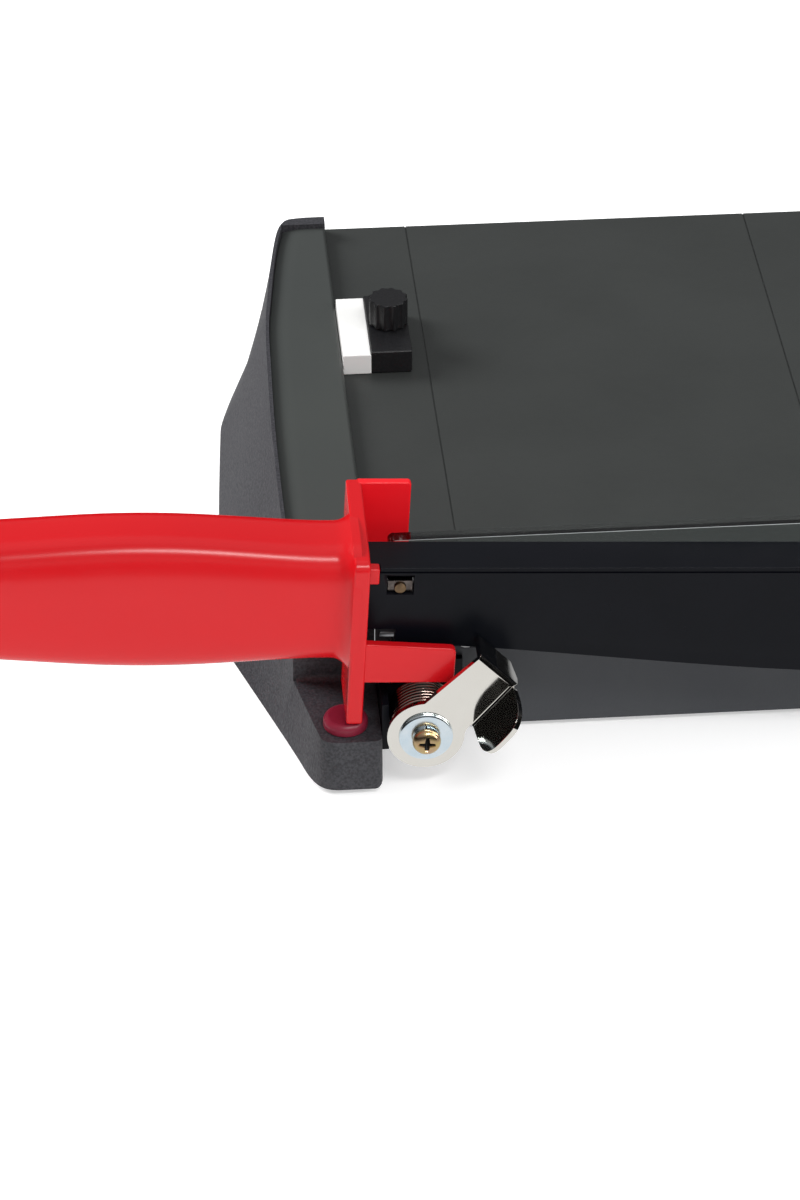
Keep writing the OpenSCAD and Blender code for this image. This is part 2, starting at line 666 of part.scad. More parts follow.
module grip() {
    n = len(grip_at);
    polyhedron(
        points=[for (i = [0:n - 1], k = [0:grip_sides - 1]) grip_point(grip_at[i], k)],
        faces=concat(
            [[for (k = [grip_sides - 1:-1:0]) k]],
            [for (i = [0:n - 2], k = [0:grip_sides - 1]) let (j = (k + 1) % grip_sides)
                [i * grip_sides + k, i * grip_sides + j, (i + 1) * grip_sides + j]],
            [for (i = [0:n - 2], k = [0:grip_sides - 1]) let (j = (k + 1) % grip_sides)
                [i * grip_sides + k, (i + 1) * grip_sides + j, (i + 1) * grip_sides + k]],
            [[for (k = [0:grip_sides - 1]) (n - 1) * grip_sides + k]]));
}

// Hand plate seen along the arm: a wide upper part and a tongue that lands on the bumper
module hand_plate_outline() {
    hull() {
        translate([hand_near + hand_corner_r, hand_top_near - hand_corner_r]) circle(r=hand_corner_r);
        polygon([[hand_near, -8], [hand_far, -8], [hand_far, hand_top], [hand_near, 0]]);
    }
    translate([hand_near, hand_low]) square([22.5, -hand_low]);
}

module handle() color([0.85, 0.12, 0.13]) on_arm() difference() {
    union() {
        grip();
        along_x(-arm_len - plate_t, -arm_len) hand_plate_outline();
        // lower fin that the latch hooks over
        along_y(5, 7.8)
            polygon([[-arm_len, -20], [-321, -20], [-321, -9.8], [-323.2, -7.7], [-arm_len, -6.8]]);
        // upper fin beyond the guard
        box(-arm_len, -332.4, hand_far - 2.5, hand_far, -6, hand_top);
        // lug that grips the arm's corner
        box(-arm_len, -343.4, 10.4, 13.9, 9.9, 15.1);
    }
    // the grip's flare stops at the plate's lower edge
    box(-arm_len - plate_t - 9, -arm_len - plate_t + e, 33.4, 50, -30, -8);
    box(-424, -arm_len + e, 14.9, 20.3, -5, 9.6);
    translate([grip_end - e, grip_hole_at[0], grip_hole_at[1]]) rotate([0, 90, 0]) {
        cylinder(h=60, r=1.8);
        cylinder(h=8, r=3.2);
    }
}

module handle_tang() color([0.6, 0.6, 0.62]) on_arm() difference() {
    box(-420, -296, 15, 20.2, -4.9, 9.5);
    for (u = rivet_u) rod_y([u, 2], 14, 22, m5_r);
    rod_y(tang_nut_at, 14, 22, tang_screw_r);
    translate([-421, grip_hole_at[0], grip_hole_at[1]]) rotate([0, 90, 0]) cylinder(h=16, r=tang_screw_r);
}

module tang_rivets() color([0.6, 0.6, 0.62]) on_arm() for (u = rivet_u)
    rod_y([u, 2], 15, arm_far, m5_r);

module tang_nut() color([0.75, 0.74, 0.7]) on_arm() difference() {
    box(-340.7, -333.7, 13, 15, 6, 9.6);
    rod_y(tang_nut_at, 11, 16, tang_screw_r);
}

module tang_screw() color([0.7, 0.55, 0.3]) on_arm() rod_y(tang_nut_at, 12.2, 20, tang_screw_r);

module grip_screw() color([0.6, 0.6, 0.6]) on_arm()
    translate([grip_end + 4, grip_hole_at[0], grip_hole_at[1]]) rotate([0, 90, 0]) {
        cylinder(h=2.6, r=3);
        cylinder(h=-406 - grip_end - 4, r=tang_screw_r);
    }

// ---- sliding back stop ---------------------------------------------------------------------

module stop_shoe() color([0.9, 0.9, 0.9]) {
    box(table_x0 + 0.1, shoe_x1, stop_y, stop_y1, table_z + 0.1, stop_top - 1);
    box(table_x0 - 2.6, table_x0 + 0.1, stop_y, stop_y1, table_z + 0.8, table_z + 2.2);
}

module stop_block() color([0.08, 0.08, 0.09]) difference() {
    box(shoe_x1, 9.7, stop_y, stop_y1, table_z + 0.1, stop_top);
    translate([knob_at[0], knob_at[1], table_z]) cylinder(h=12, r=insert_r);
}

module stop_insert() color([0.7, 0.56, 0.3])
    translate([knob_at[0], knob_at[1], table_z + 0.6]) difference() {
        cylinder(h=stop_top - table_z - 0.6, r=insert_r);
        translate([0, 0, -e]) cylinder(h=12, r=m4_r + running);
    }

module stop_knob() color([0.08, 0.08, 0.09]) translate([knob_at[0], knob_at[1], table_z]) {
    translate([0, 0, 0.15]) cylinder(h=9, r=m4_r);
    translate([0, 0, 8.3]) difference() {
        cylinder(h=9, r=6.2);
        for (a = [0:30:330]) rotate(a) translate([7.2, 0, -e]) cylinder(h=12, r=1.6, $fn=24);
    }
}

placed() table_plate();
placed() front_cap();
placed() rear_cap();
placed() paper_ledge();
placed() blade_side_rail();
placed() far_side_rail();
placed() cross_ribs();
placed() lower_knife();
placed() knife_screws();
placed() blade_guard();
placed() guard_front_bracket();
placed() guard_rear_block();
placed() guard_screws();
placed() bumper();
placed() rubber_feet();
placed() cap_screws();
placed() latch_bracket();
placed() bracket_screws();
placed() latch_sleeve();
placed() latch_spring();
placed() latch_washer();
placed() latch_lock_washer();
placed() latch_screw();
placed() latch_nut();
placed() pivot_bracket();
placed() pivot_backplate();
placed() pivot_screws();
placed() pivot_bolt();
placed() pivot_disc_spring();
placed() pivot_spacer();
placed() pivot_nut();
placed() arm_beam();
placed() arm_cover();
placed() arm_bush();
placed() blade();
placed() blade_screws();
placed() handle();
placed() handle_tang();
placed() tang_rivets();
placed() tang_nut();
placed() tang_screw();
placed() grip_screw();
placed() latch_plate();
placed() stop_shoe();
placed() stop_block();
placed() stop_insert();
placed() stop_knob();
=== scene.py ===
"""Looks of a lever cutter for tile, sheet and card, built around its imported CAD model.

Shapes are drawn in millimetres in one of three frames, and a matrix takes them to the CAD model's
metres: LAYOUT (x along the cut, 0 at the latch pivot; y across the table; z above the bench), ARM
(u along the arm from its pivot, y, w square to the arm) and LATCH (a along the latch, y, b square
to it).
"""

import json
import math

import bmesh
import bpy
from mathutils import Matrix, Vector

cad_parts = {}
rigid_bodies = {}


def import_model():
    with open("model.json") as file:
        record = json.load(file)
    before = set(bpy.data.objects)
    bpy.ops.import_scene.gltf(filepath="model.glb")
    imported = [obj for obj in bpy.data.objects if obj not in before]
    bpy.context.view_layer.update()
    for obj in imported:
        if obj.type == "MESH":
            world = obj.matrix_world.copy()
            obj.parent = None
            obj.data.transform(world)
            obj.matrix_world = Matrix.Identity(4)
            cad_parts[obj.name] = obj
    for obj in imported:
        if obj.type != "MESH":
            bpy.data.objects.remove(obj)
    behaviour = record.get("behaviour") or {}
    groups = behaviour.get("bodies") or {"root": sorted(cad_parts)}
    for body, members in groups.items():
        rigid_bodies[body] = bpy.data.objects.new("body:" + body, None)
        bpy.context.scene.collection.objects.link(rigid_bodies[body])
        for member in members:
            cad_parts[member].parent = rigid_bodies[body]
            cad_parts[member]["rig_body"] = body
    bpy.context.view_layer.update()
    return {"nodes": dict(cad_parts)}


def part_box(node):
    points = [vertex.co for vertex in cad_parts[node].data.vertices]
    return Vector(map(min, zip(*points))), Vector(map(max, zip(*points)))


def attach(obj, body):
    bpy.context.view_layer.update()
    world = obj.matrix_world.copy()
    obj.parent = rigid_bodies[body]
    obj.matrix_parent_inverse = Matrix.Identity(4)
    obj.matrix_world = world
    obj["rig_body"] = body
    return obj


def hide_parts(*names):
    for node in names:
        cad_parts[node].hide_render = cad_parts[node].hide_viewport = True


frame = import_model()

MM = 0.001
WASHER_FACE = 1.1  # the washer's outer face stands this far in front of LAYOUT's y = 0
PIVOT_X = 330
PIVOT_Z = 38
ARM_TILT = math.radians(2.94)
LATCH_Z = 20
LATCH_ANGLE = math.radians(43.5)
SHARP = math.radians(35)

washer_low, washer_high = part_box("latch_washer")
LAYOUT = Matrix.Translation(
    ((washer_low.x + washer_high.x) / 2, washer_low.y + WASHER_FACE * MM, 0)
) @ Matrix.Scale(MM, 4)
ARM = LAYOUT @ Matrix.Translation((PIVOT_X, 0, PIVOT_Z)) @ Matrix.Rotation(ARM_TILT, 4, "Y")
LATCH = LAYOUT @ Matrix.Translation((0, 0, LATCH_Z)) @ Matrix.Rotation(-LATCH_ANGLE, 4, "Y")


# ---- drawing helpers -------------------------------------------------------------------------


def rounded(corners, steps=6):
    """Outline through corners of (x, y, radius), each turned by an arc of that many steps."""
    points = []
    n = len(corners)
    for i, (x, y, r) in enumerate(corners):
        here = Vector((x, y))
        back = Vector(corners[i - 1][:2]) - here
        ahead = Vector(corners[(i + 1) % n][:2]) - here
        half = back.angle(ahead) / 2
        straight = half > math.radians(89.5)
        if r <= 0 or straight:
            points.append((x, y))
            continue
        # an arc takes less than half of each side that it joins
        cut = min(r / math.tan(half), 0.49 * back.length, 0.49 * ahead.length)
        r = cut * math.tan(half)
        start = here + back.normalized() * cut
        end = here + ahead.normalized() * cut
        centre = here + (back.normalized() + ahead.normalized()).normalized() * (r / math.sin(half))
        for k in range(steps + 1):
            toward = (start - centre).lerp(end - centre, k / steps).normalized()
            points.append(tuple(centre + toward * r))
    return points


def loft(rings):
    """Vertices and faces of a skin over rings of equally many points, with both ends filled."""
    n = len(rings[0])
    verts = [p for ring in rings for p in ring]
    faces = []
    for i in range(len(rings) - 1):
        for k in range(n):
            j = (k + 1) % n
            faces.append((i * n + k, i * n + j, (i + 1) * n + j, (i + 1) * n + k))
    faces.append(tuple(range(n - 1, -1, -1)))
    faces.append(tuple((len(rings) - 1) * n + k for k in range(n)))
    return verts, faces


def revolve_y(profile, at=(0, 0), sides=64):
    """Solid of revolution about a line along y at (x, z), from an open (radius, y) profile."""
    rings = []
    for r, y in profile:
        ring = []
        for k in range(sides):
            a = 2 * math.pi * k / sides
            ring.append((at[0] + r * math.cos(a), y, at[1] + r * math.sin(a)))
        rings.append(ring)
    return loft(rings)


def revolve_ring(profile, at, sides):
    """Ring of revolution about a line along y at (x, z), from a closed (radius, y) profile."""
    n = len(profile)
    verts = []
    faces = []
    for k in range(sides):
        a = 2 * math.pi * k / sides
        verts += [(at[0] + r * math.cos(a), y, at[1] + r * math.sin(a)) for r, y in profile]
    for k in range(sides):
        j = (k + 1) % sides
        for i in range(n):
            m = (i + 1) % n
            faces.append((k * n + i, k * n + m, j * n + m, j * n + i))
    return verts, faces


def prism_y(outline, y0, y1):
    """Outline of (x, z) points, extruded from y0 to y1."""
    return loft([[(x, y, z) for x, z in outline] for y in (y0, y1)])


def prism_x(outline, x0, x1):
    """Outline of (y, z) points, extruded from x0 to x1."""
    return loft([[(x, y, z) for y, z in outline] for x in (x0, x1)])


def block(x0, x1, y0, y1, z0, z1):
    """Plain box, used as a cutter and for the smallest features."""
    return prism_y([(x0, z0), (x1, z0), (x1, z1), (x0, z1)], y0, y1)


def solid(name, drawing, place):
    """Closed mesh object of a drawing, with its faces turned outwards."""
    verts, faces = drawing
    mesh = bpy.data.meshes.new(name)
    mesh.from_pydata([place @ Vector(v) for v in verts], [], faces)
    b = bmesh.new()
    b.from_mesh(mesh)
    bmesh.ops.remove_doubles(b, verts=b.verts, dist=1e-7)
    bmesh.ops.recalc_face_normals(b, faces=b.faces)
    b.to_mesh(mesh)
    b.free()
    obj = bpy.data.objects.new(name, mesh)
    bpy.context.scene.collection.objects.link(obj)
    return obj


def settle(obj):
    """Applies every modifier on obj."""
    graph = bpy.context.evaluated_depsgraph_get()
    mesh = bpy.data.meshes.new_from_object(obj.evaluated_get(graph))
    obj.modifiers.clear()
    obj.data = mesh
    return obj


def combine(obj, other, how):
    """Exact boolean of two closed meshes, which uses up the second."""
    m = obj.modifiers.new("combine", "BOOLEAN")
    m.operation = how
    m.solver = "EXACT"
    m.object = other
    settle(obj)
    bpy.data.objects.remove(other)
    return obj


def soften(obj, width, segments=3, angle=30.0):
    """Rounds every edge sharper than angle, with width in millimetres.

    One short edge anywhere narrows every rounding, so that none of them cross.
    """
    m = obj.modifiers.new("soften", "BEVEL")
    m.width = width * MM
    m.segments = segments
    m.limit_method = "ANGLE"
    m.angle_limit = math.radians(angle)
    m.use_clamp_overlap = True
    m.harden_normals = False
    return settle(obj)


def ease_edges(obj, width, segments=3):
    """Rounds only the sharp edges that no short edge runs into, so that they get their full width."""
    b = bmesh.new()
    b.from_mesh(obj.data)
    sharp = [e for e in b.edges if e.is_manifold and e.calc_face_angle(0) > SHARP]
    sharp_set = set(sharp)
    short = 2.5 * width * MM
    straight_on = -0.85

    def has_room(edge):
        for vert in edge.verts:
            along = (edge.other_vert(vert).co - vert.co).normalized()
            for other in vert.link_edges:
                away = other.other_vert(vert).co - vert.co
                goes_on = other in sharp_set and away.normalized().dot(along) < straight_on
                if other != edge and not goes_on and away.length < short:
                    return False
        return True

    bmesh.ops.bevel(b, geom=[e for e in sharp if has_room(e)], offset=width * MM, segments=segments,
                    profile=0.5, affect="EDGES", clamp_overlap=True)
    b.to_mesh(obj.data)
    b.free()
    return obj


def smooth(obj, angle=38.0):
    """Smooth shading with even flat faces, left sharp at edges over angle."""
    obj.data.shade_smooth()
    obj.data.set_sharp_from_angle(angle=math.radians(angle))
    m = obj.modifiers.new("shade", "WEIGHTED_NORMAL")
    m.keep_sharp = True
    m.weight = 60
    return settle(obj)


def cad_copy(node):
    """Editable copy of a CAD node's mesh, with its flat faces whole again."""
    mesh = frame["nodes"][node].data.copy()
    obj = bpy.data.objects.new(node + "_look", mesh)
    bpy.context.scene.collection.objects.link(obj)
    b = bmesh.new()
    b.from_mesh(mesh)
    bmesh.ops.remove_doubles(b, verts=b.verts, dist=2e-6)
    bmesh.ops.dissolve_limit(b, angle_limit=math.radians(1.0), verts=b.verts, edges=b.edges)
    b.to_mesh(mesh)
    b.free()
    return obj


def round_over(obj, width, segments, test, clamp=True):
    """Rounds the sharp edges whose middle, in LAYOUT, passes the test; width is in millimetres.

    Without clamp, short edges elsewhere in the mesh don't narrow the rounding.
    """
    to_layout = LAYOUT.inverted()
    b = bmesh.new()
    b.from_mesh(obj.data)
    bmesh.ops.dissolve_limit(b, angle_limit=math.radians(0.6), verts=b.verts, edges=b.edges)
    chosen = [
        edge for edge in b.edges
        if edge.is_manifold and edge.calc_face_angle(0) > SHARP
        and test(to_layout @ ((edge.verts[0].co + edge.verts[1].co) / 2))
    ]
    bmesh.ops.bevel(b, geom=chosen, offset=width * MM, segments=segments, profile=0.5, affect="EDGES",
                    clamp_overlap=clamp)
    b.to_mesh(obj.data)
    b.free()
    return obj


def paint(obj, index, test):
    """Gives material number index to the faces whose centre and normal, in LAYOUT, pass the test."""
    to_layout = LAYOUT.inverted()
    for face in obj.data.polygons:
        if test(to_layout @ face.center, face.normal):
            face.material_index = index


def corner_cut(points, rounds=3):
    """Smooth open curve guided by the points, which keeps its first and last ones."""
    for _ in range(rounds):
        new = [points[0]]
        for p, q in zip(points, points[1:]):
            p, q = Vector(p), Vector(q)
            new += [tuple(p.lerp(q, 0.25)), tuple(p.lerp(q, 0.75))]
        points = new + [points[-1]]
    return points


def piece(obj, node, slot, *finishes):
    """Gives a finished object its materials and its CAD node's place in the motion; the slot is not
    used.
    """
    obj.data.materials.clear()
    for finish in finishes:
        obj.data.materials.append(finish)
    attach(obj, frame["nodes"][node]["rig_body"])
    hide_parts(node)


# ---- materials -------------------------------------------------------------------------------


def srgb(r, g, b):
    """Linear colour of an 8-bit display colour."""
    return tuple(
        (c / 255 / 12.92 if c < 11 else ((c / 255 + 0.055) / 1.055) ** 2.4) for c in (r, g, b)
    ) + (1.0,)


class Finish:
    """A material being built: its shader and short ways to add noise, colour changes and bump."""

    def __init__(self, name, colour, rough, metal=0.0, **sockets):
        self.material = bpy.data.materials.new(name)
        self.material.use_nodes = True
        self.tree = self.material.node_tree
        self.shader = self.tree.nodes["Principled BSDF"]
        self.shader.inputs["Base Color"].default_value = colour
        self.shader.inputs["Roughness"].default_value = rough
        self.shader.inputs["Metallic"].default_value = metal
        for socket, value in sockets.items():
            self.shader.inputs[socket.replace("_", " ")].default_value = value
        self.where = self.tree.nodes.new("ShaderNodeTexCoord").outputs["Object"]
        self.last_bump = None

    def node(self, kind, **inputs):
        """New node whose inputs are numbers, vectors or other nodes' outputs."""
        n = self.tree.nodes.new(kind)
        for name, value in inputs.items():
            self.feed(n.inputs[name.replace("_", " ")], value)
        return n

    def feed(self, socket, value):
        """Links value to the socket if it is another node's output, or sets it there."""
        if isinstance(value, bpy.types.NodeSocket):
            self.tree.links.new(value, socket)
        else:
            socket.default_value = value

    def noise(self, scale, detail=2.0, stretch=None):
        """Noise from 0 to 1 with features about 1/scale metres wide."""
        where = self.where
        if stretch:
            where = self.node("ShaderNodeMapping", Vector=where, Scale=stretch).outputs["Vector"]
        n = self.node("ShaderNodeTexNoise", Vector=where, Scale=scale, Detail=detail)
        return n.outputs["Fac"]

    def cells(self, scale):
        """Distance to the nearest of scattered points about 1/scale metres apart."""
        return self.node("ShaderNodeTexVoronoi", Vector=self.where, Scale=scale).outputs["Distance"]

    def spread(self, value, low, high, start=0.0, end=1.0):
        """Maps value from low..high to start..end, clamped."""
        n = self.node("ShaderNodeMapRange")
        self.feed(n.inputs["Value"], value)
        n.inputs["From Min"].default_value = low
        n.inputs["From Max"].default_value = high
        n.inputs["To Min"].default_value = start
        n.inputs["To Max"].default_value = end
        return n.outputs["Result"]

    def tint(self, amount, colour_a, colour_b):
        """Base colour that goes from colour_a to colour_b with amount."""
        n = self.node("ShaderNodeMix")
        n.data_type = "RGBA"
        self.feed(n.inputs[0], amount)
        n.inputs[6].default_value = colour_a
        n.inputs[7].default_value = colour_b
        self.feed(self.shader.inputs["Base Color"], n.outputs[2])

    def rough(self, amount, low, high):
        """Roughness that goes from low to high with amount."""
        self.feed(self.shader.inputs["Roughness"], self.spread(amount, 0.0, 1.0, low, high))

    def bump(self, height, depth_mm):
        """Bump of that depth, on top of the ones before it."""
        n = self.node("ShaderNodeBump", Height=height, Distance=depth_mm * MM)
        if self.last_bump:
            self.feed(n.inputs["Normal"], self.last_bump)
        self.last_bump = n.outputs["Normal"]
        self.feed(self.shader.inputs["Normal"], self.last_bump)


def powder_coat(name, colour_a, colour_b, rough=0.5, grain=1400, depth=0.03, specular=0.35):
    """Sprayed coating: fine orange peel and faint cloudy variation."""
    f = Finish(name, colour_a, rough, Specular_IOR_Level=specular)
    f.tint(f.spread(f.noise(22, 3.0), 0.35, 0.65), colour_a, colour_b)
    f.rough(f.noise(180, 3.0), rough - 0.06, rough + 0.06)
    f.bump(f.noise(grain, 2.0), depth)
    return f.material


def grained_plastic(name, colour_a, colour_b, rough=0.5, grain=1500, depth=0.1, specular=0.5):
    """Moulded plastic with a spark-eroded grain of small pits and bumps."""
    f = Finish(name, colour_a, rough, Specular_IOR_Level=specular)
    f.tint(f.spread(f.noise(grain, 2.0), 0.35, 0.65), colour_a, colour_b)
    f.rough(f.noise(grain * 0.6, 2.0), rough - 0.1, rough + 0.1)
    f.bump(f.cells(grain), depth * 0.6)
    f.bump(f.noise(grain * 0.45, 2.0), depth)
    return f.material


def gloss_plastic(name, colour_a, colour_b, rough=0.3, specular=0.5, depth=0.012):
    """Smooth moulded plastic with faint flow marks."""
    f = Finish(name, colour_a, rough, Specular_IOR_Level=specular)
    f.tint(f.spread(f.noise(14, 2.0), 0.3, 0.7), colour_a, colour_b)
    f.rough(f.noise(60, 3.0), rough - 0.05, rough + 0.05)
    f.bump(f.noise(350, 2.0), depth)
    return f.material


def ground_steel(name, colour_a, colour_b, rough=0.3, stretch=(0.03, 1.0, 1.0)):
    """Machine-ground steel: fine lines along the cut."""
    f = Finish(name, colour_a, rough, metal=1.0)
    lines = f.noise(2600, 3.0, stretch)
    f.tint(f.spread(lines, 0.3, 0.7), colour_a, colour_b)
    f.rough(f.noise(90, 3.0), rough - 0.07, rough + 0.1)
    f.bump(lines, 0.012)
    return f.material


def plated(name, colour_a, colour_b, rough=0.12, wave=0.02, cloud=70):
    """Bright plating on pressed metal: a slightly wavy mirror with faint clouding."""
    f = Finish(name, colour_a, rough, metal=1.0)
    f.tint(f.spread(f.noise(cloud, 3.0), 0.35, 0.7), colour_a, colour_b)
    f.rough(f.noise(220, 4.0), rough * 0.6, rough * 1.5)
    f.bump(f.noise(160, 2.0), wave)
    return f.material


def rubber(name, colour_a, colour_b, rough=0.6, grain=900, depth=0.03):
    """Moulded rubber: dull, with a fine uneven skin."""
    f = Finish(name, colour_a, rough, Specular_IOR_Level=0.4)
    f.tint(f.spread(f.noise(120, 3.0), 0.3, 0.7), colour_a, colour_b)
    f.rough(f.noise(300, 3.0), rough - 0.08, rough + 0.1)
    f.bump(f.noise(grain, 3.0), depth)
    return f.material


def clear_acrylic(name):
    """Clear cast sheet with a trace of haze from handling."""
    f = Finish(name, (0.93, 0.97, 0.96, 1.0), 0.03, IOR=1.49, Transmission_Weight=1.0)
    f.rough(f.spread(f.noise(45, 4.0), 0.45, 0.75), 0.02, 0.09)
    f.bump(f.noise(40, 2.0), 0.01)
    return f.material


def pale_edge_highlight(name):
    """Chamfered edge of clear sheet made partly diffuse and pale: a painted highlight along the edge.
    """
    f = Finish(name, (0.86, 0.92, 0.92, 1.0), 0.2, IOR=1.49, Transmission_Weight=0.64)
    f.rough(f.noise(240, 3.0), 0.12, 0.3)
    f.bump(f.noise(900, 2.0, (0.1, 1.0, 1.0)), 0.02)
    return f.material


TABLE_COAT = powder_coat("table_coat", srgb(49, 51, 50), srgb(52, 54, 53), 0.58, 1700, 0.03, 0.28)
CAP_PLASTIC = grained_plastic("cap_plastic", srgb(40, 40, 44), srgb(60, 60, 64), 0.55, 1300, 0.12)
LEDGE_PLASTIC = gloss_plastic("ledge_plastic", srgb(56, 59, 58), srgb(60, 63, 61), 0.48, 0.4, 0.008)
RAIL_COAT = powder_coat("rail_coat", srgb(55, 57, 61), srgb(60, 62, 65), 0.45, 900, 0.04)
ARM_COAT = powder_coat("arm_coat", srgb(7, 9, 14), srgb(11, 12, 18), 0.3, 1100, 0.012, 0.14)
BLACK_OXIDE = plated("black_oxide", (0.035, 0.036, 0.04, 1), (0.06, 0.06, 0.065, 1), 0.34, 0.02)
KNIFE_STEEL = ground_steel("knife_steel", (0.42, 0.43, 0.45, 1), (0.52, 0.53, 0.55, 1))
BRIGHT_STEEL = plated("bright_steel", (0.62, 0.62, 0.60, 1), (0.70, 0.70, 0.68, 1), 0.2, 0.02)
PLAIN_STEEL = plated("plain_steel", (0.45, 0.45, 0.46, 1), (0.56, 0.56, 0.56, 1), 0.28, 0.02)
NICKEL = plated("nickel", (0.80, 0.775, 0.72, 1), (0.84, 0.82, 0.77, 1), 0.08, 0.012)
# painted reflection: the spring's warm brown colour stands in for the red fin that it mirrors
SPRING_PAINTED_REFLECTION = plated("spring_nickel_painted_reflection", (0.34, 0.24, 0.20, 1), (0.50, 0.40, 0.35, 1), 0.15, 0.02)
BLUE_ZINC = plated("blue_zinc", (0.68, 0.80, 0.88, 1), (0.78, 0.86, 0.91, 1), 0.2, 0.03, 260)
YELLOW_ZINC = plated("yellow_zinc", (0.58, 0.44, 0.20, 1), (0.54, 0.36, 0.25, 1), 0.28, 0.05, 420)
# painted shade: darkened nickel and brass for the tang nut and screw, standing in for the shade inside
# the handle
NICKEL_PAINTED_SHADE = plated("nickel_painted_shade", (0.10, 0.085, 0.08, 1), (0.24, 0.2, 0.18, 1), 0.25, 0.06, 500)
BRASS_PAINTED_SHADE = plated("brass_painted_shade", (0.12, 0.08, 0.05, 1), (0.24, 0.16, 0.09, 1), 0.3, 0.05, 500)
BRASS = plated("brass", (0.60, 0.42, 0.18, 1), (0.66, 0.50, 0.26, 1), 0.25, 0.02)
RED_PLASTIC = gloss_plastic("red_plastic", srgb(187, 12, 20), srgb(191, 15, 23), 0.24, 0.4, 0.012)
# painted light: a lighter copy of the red plastic, for the upper fin in place of light it doesn't get
RED_PAINTED_LIGHT = gloss_plastic("red_plastic_painted_light", srgb(228, 22, 32), srgb(232, 26, 36), 0.24, 0.4, 0.012)
BUMPER_RUBBER = rubber("bumper_rubber", srgb(112, 24, 44), srgb(124, 30, 50), 0.35, 500, 0.01)
FOOT_RUBBER = rubber("foot_rubber", srgb(20, 20, 21), srgb(30, 30, 31))
BLACK_PLASTIC = grained_plastic("black_plastic", srgb(14, 14, 16), srgb(22, 22, 24), 0.45, 1800, 0.05)
WHITE_PLASTIC = gloss_plastic("white_plastic", srgb(222, 222, 220), srgb(230, 230, 228), 0.35)
CLEAR_GUARD = clear_acrylic("clear_guard")
# painted highlight: pale, partly diffuse finish for the guard's chamfered edges
GUARD_EDGE_HIGHLIGHT = pale_edge_highlight("guard_edge_highlight")
# painted shade: a dark colour for the inside of the screw's cross recess
RECESS_SHADE = rubber("recess_shadow", srgb(16, 15, 14), srgb(22, 21, 20), 0.6)


# ---- handle ----------------------------------------------------------------------------------

ARM_LEN = 346.6
PLATE_T = 4.6
PLATE_FRONT = 4.5
PLATE_BACK = 44.7
PLATE_LOW = -34.5
HAND_TOP = 23.9
HAND_TOP_NEAR = 20.2
STEP_Y = 27
STEP_W = -8
GRIP_LEN = 128
GRIP_Y = 20
GRIP_W0 = 2.2
GRIP_HALF_H = 19.1
GRIP_HALF_W = 13
GRIP_SWELL = 2.75
SWELL_FROM = 8
SWELL_LEN = 100
FLARE_LEN = 5
FLARE_UP = 1.2
FLARE_DOWN = 3.2
FLARE_SIDE = 3.0
END_AT = 96
SQUARENESS = 0.56  # 1 for an oval, towards 0 for a rectangle
SINK = 1.5  # how far the fins and the lug run into the plate
LOWER_FIN_END = -321
LOWER_FIN_Y = (5, 7.8)
UPPER_FIN_END = -332.4
UPPER_FIN_Y = (42.2, PLATE_BACK)
LUG_END = -343.4
LUG_Y = (10.4, 13.9)
LUG_W = (9.9, 15.1)
END_HOLE_R = 3.2
END_HOLE_DEEP = 8
END_HOLE_AT = (17.6, 2.3)
PAINTED_LIGHT_FROM = (-15.9, 42)  # in LAYOUT, x and y


def grip_section(d):
    """Half height above, half height below and half width of the grip at distance d from the plate."""
    flare = max(0.0, 1 - d / FLARE_LEN) ** 2.5
    swell = GRIP_SWELL * max(0.0, math.sin(math.pi * (d - SWELL_FROM) / SWELL_LEN)) ** 1.5
    past = max(0.0, (d - END_AT) / (GRIP_LEN - END_AT))
    tall = (1 - past ** 2.3) ** 0.55
    wide = (1 - past ** 3) ** 0.5
    half = (GRIP_HALF_H + swell) * tall
    return half + FLARE_UP * flare, half + FLARE_DOWN * flare, GRIP_HALF_W * wide + FLARE_SIDE * flare


def grip():
    """Loft of squared ovals that flares into the hand plate and closes to a round end."""
    sides = 112
    inside_plate = -2.3
    steps = [inside_plate] + [0.3 * i for i in range(18)] + [6 + 2 * i for i in range(45)]
    steps += [END_AT + (GRIP_LEN - END_AT) * math.sin(math.pi / 2 * i / 26) for i in range(26)]
    steps += [GRIP_LEN - 0.004]
    rings = []
    for d in steps:
        above, below, wide = grip_section(max(d, 0))
        ring = []
        for k in range(sides):
            a = 2 * math.pi * k / sides
            c = math.copysign(abs(math.cos(a)) ** SQUARENESS, math.cos(a))
            s = math.copysign(abs(math.sin(a)) ** SQUARENESS, math.sin(a))
            tall = above if s > 0 else below
            ring.append((-ARM_LEN - PLATE_T - d, GRIP_Y + wide * c, GRIP_W0 + tall * s))
        rings.append(ring)
    return solid("grip", loft(rings), ARM)


def hand_plate():
    """Upright plate between the grip and the arm, narrower below the arm."""
    outline = rounded([
        (PLATE_FRONT, HAND_TOP_NEAR, 3.0), (PLATE_BACK, HAND_TOP, 1.0), (PLATE_BACK, STEP_W, 1.2),
        (STEP_Y, STEP_W, 2.0), (STEP_Y, PLATE_LOW, 1.2), (PLATE_FRONT, PLATE_LOW, 1.2),
    ])
    obj = solid("plate", prism_x(outline, -ARM_LEN - PLATE_T, -ARM_LEN), ARM)
    return soften(obj, 0.7, 4, 40)


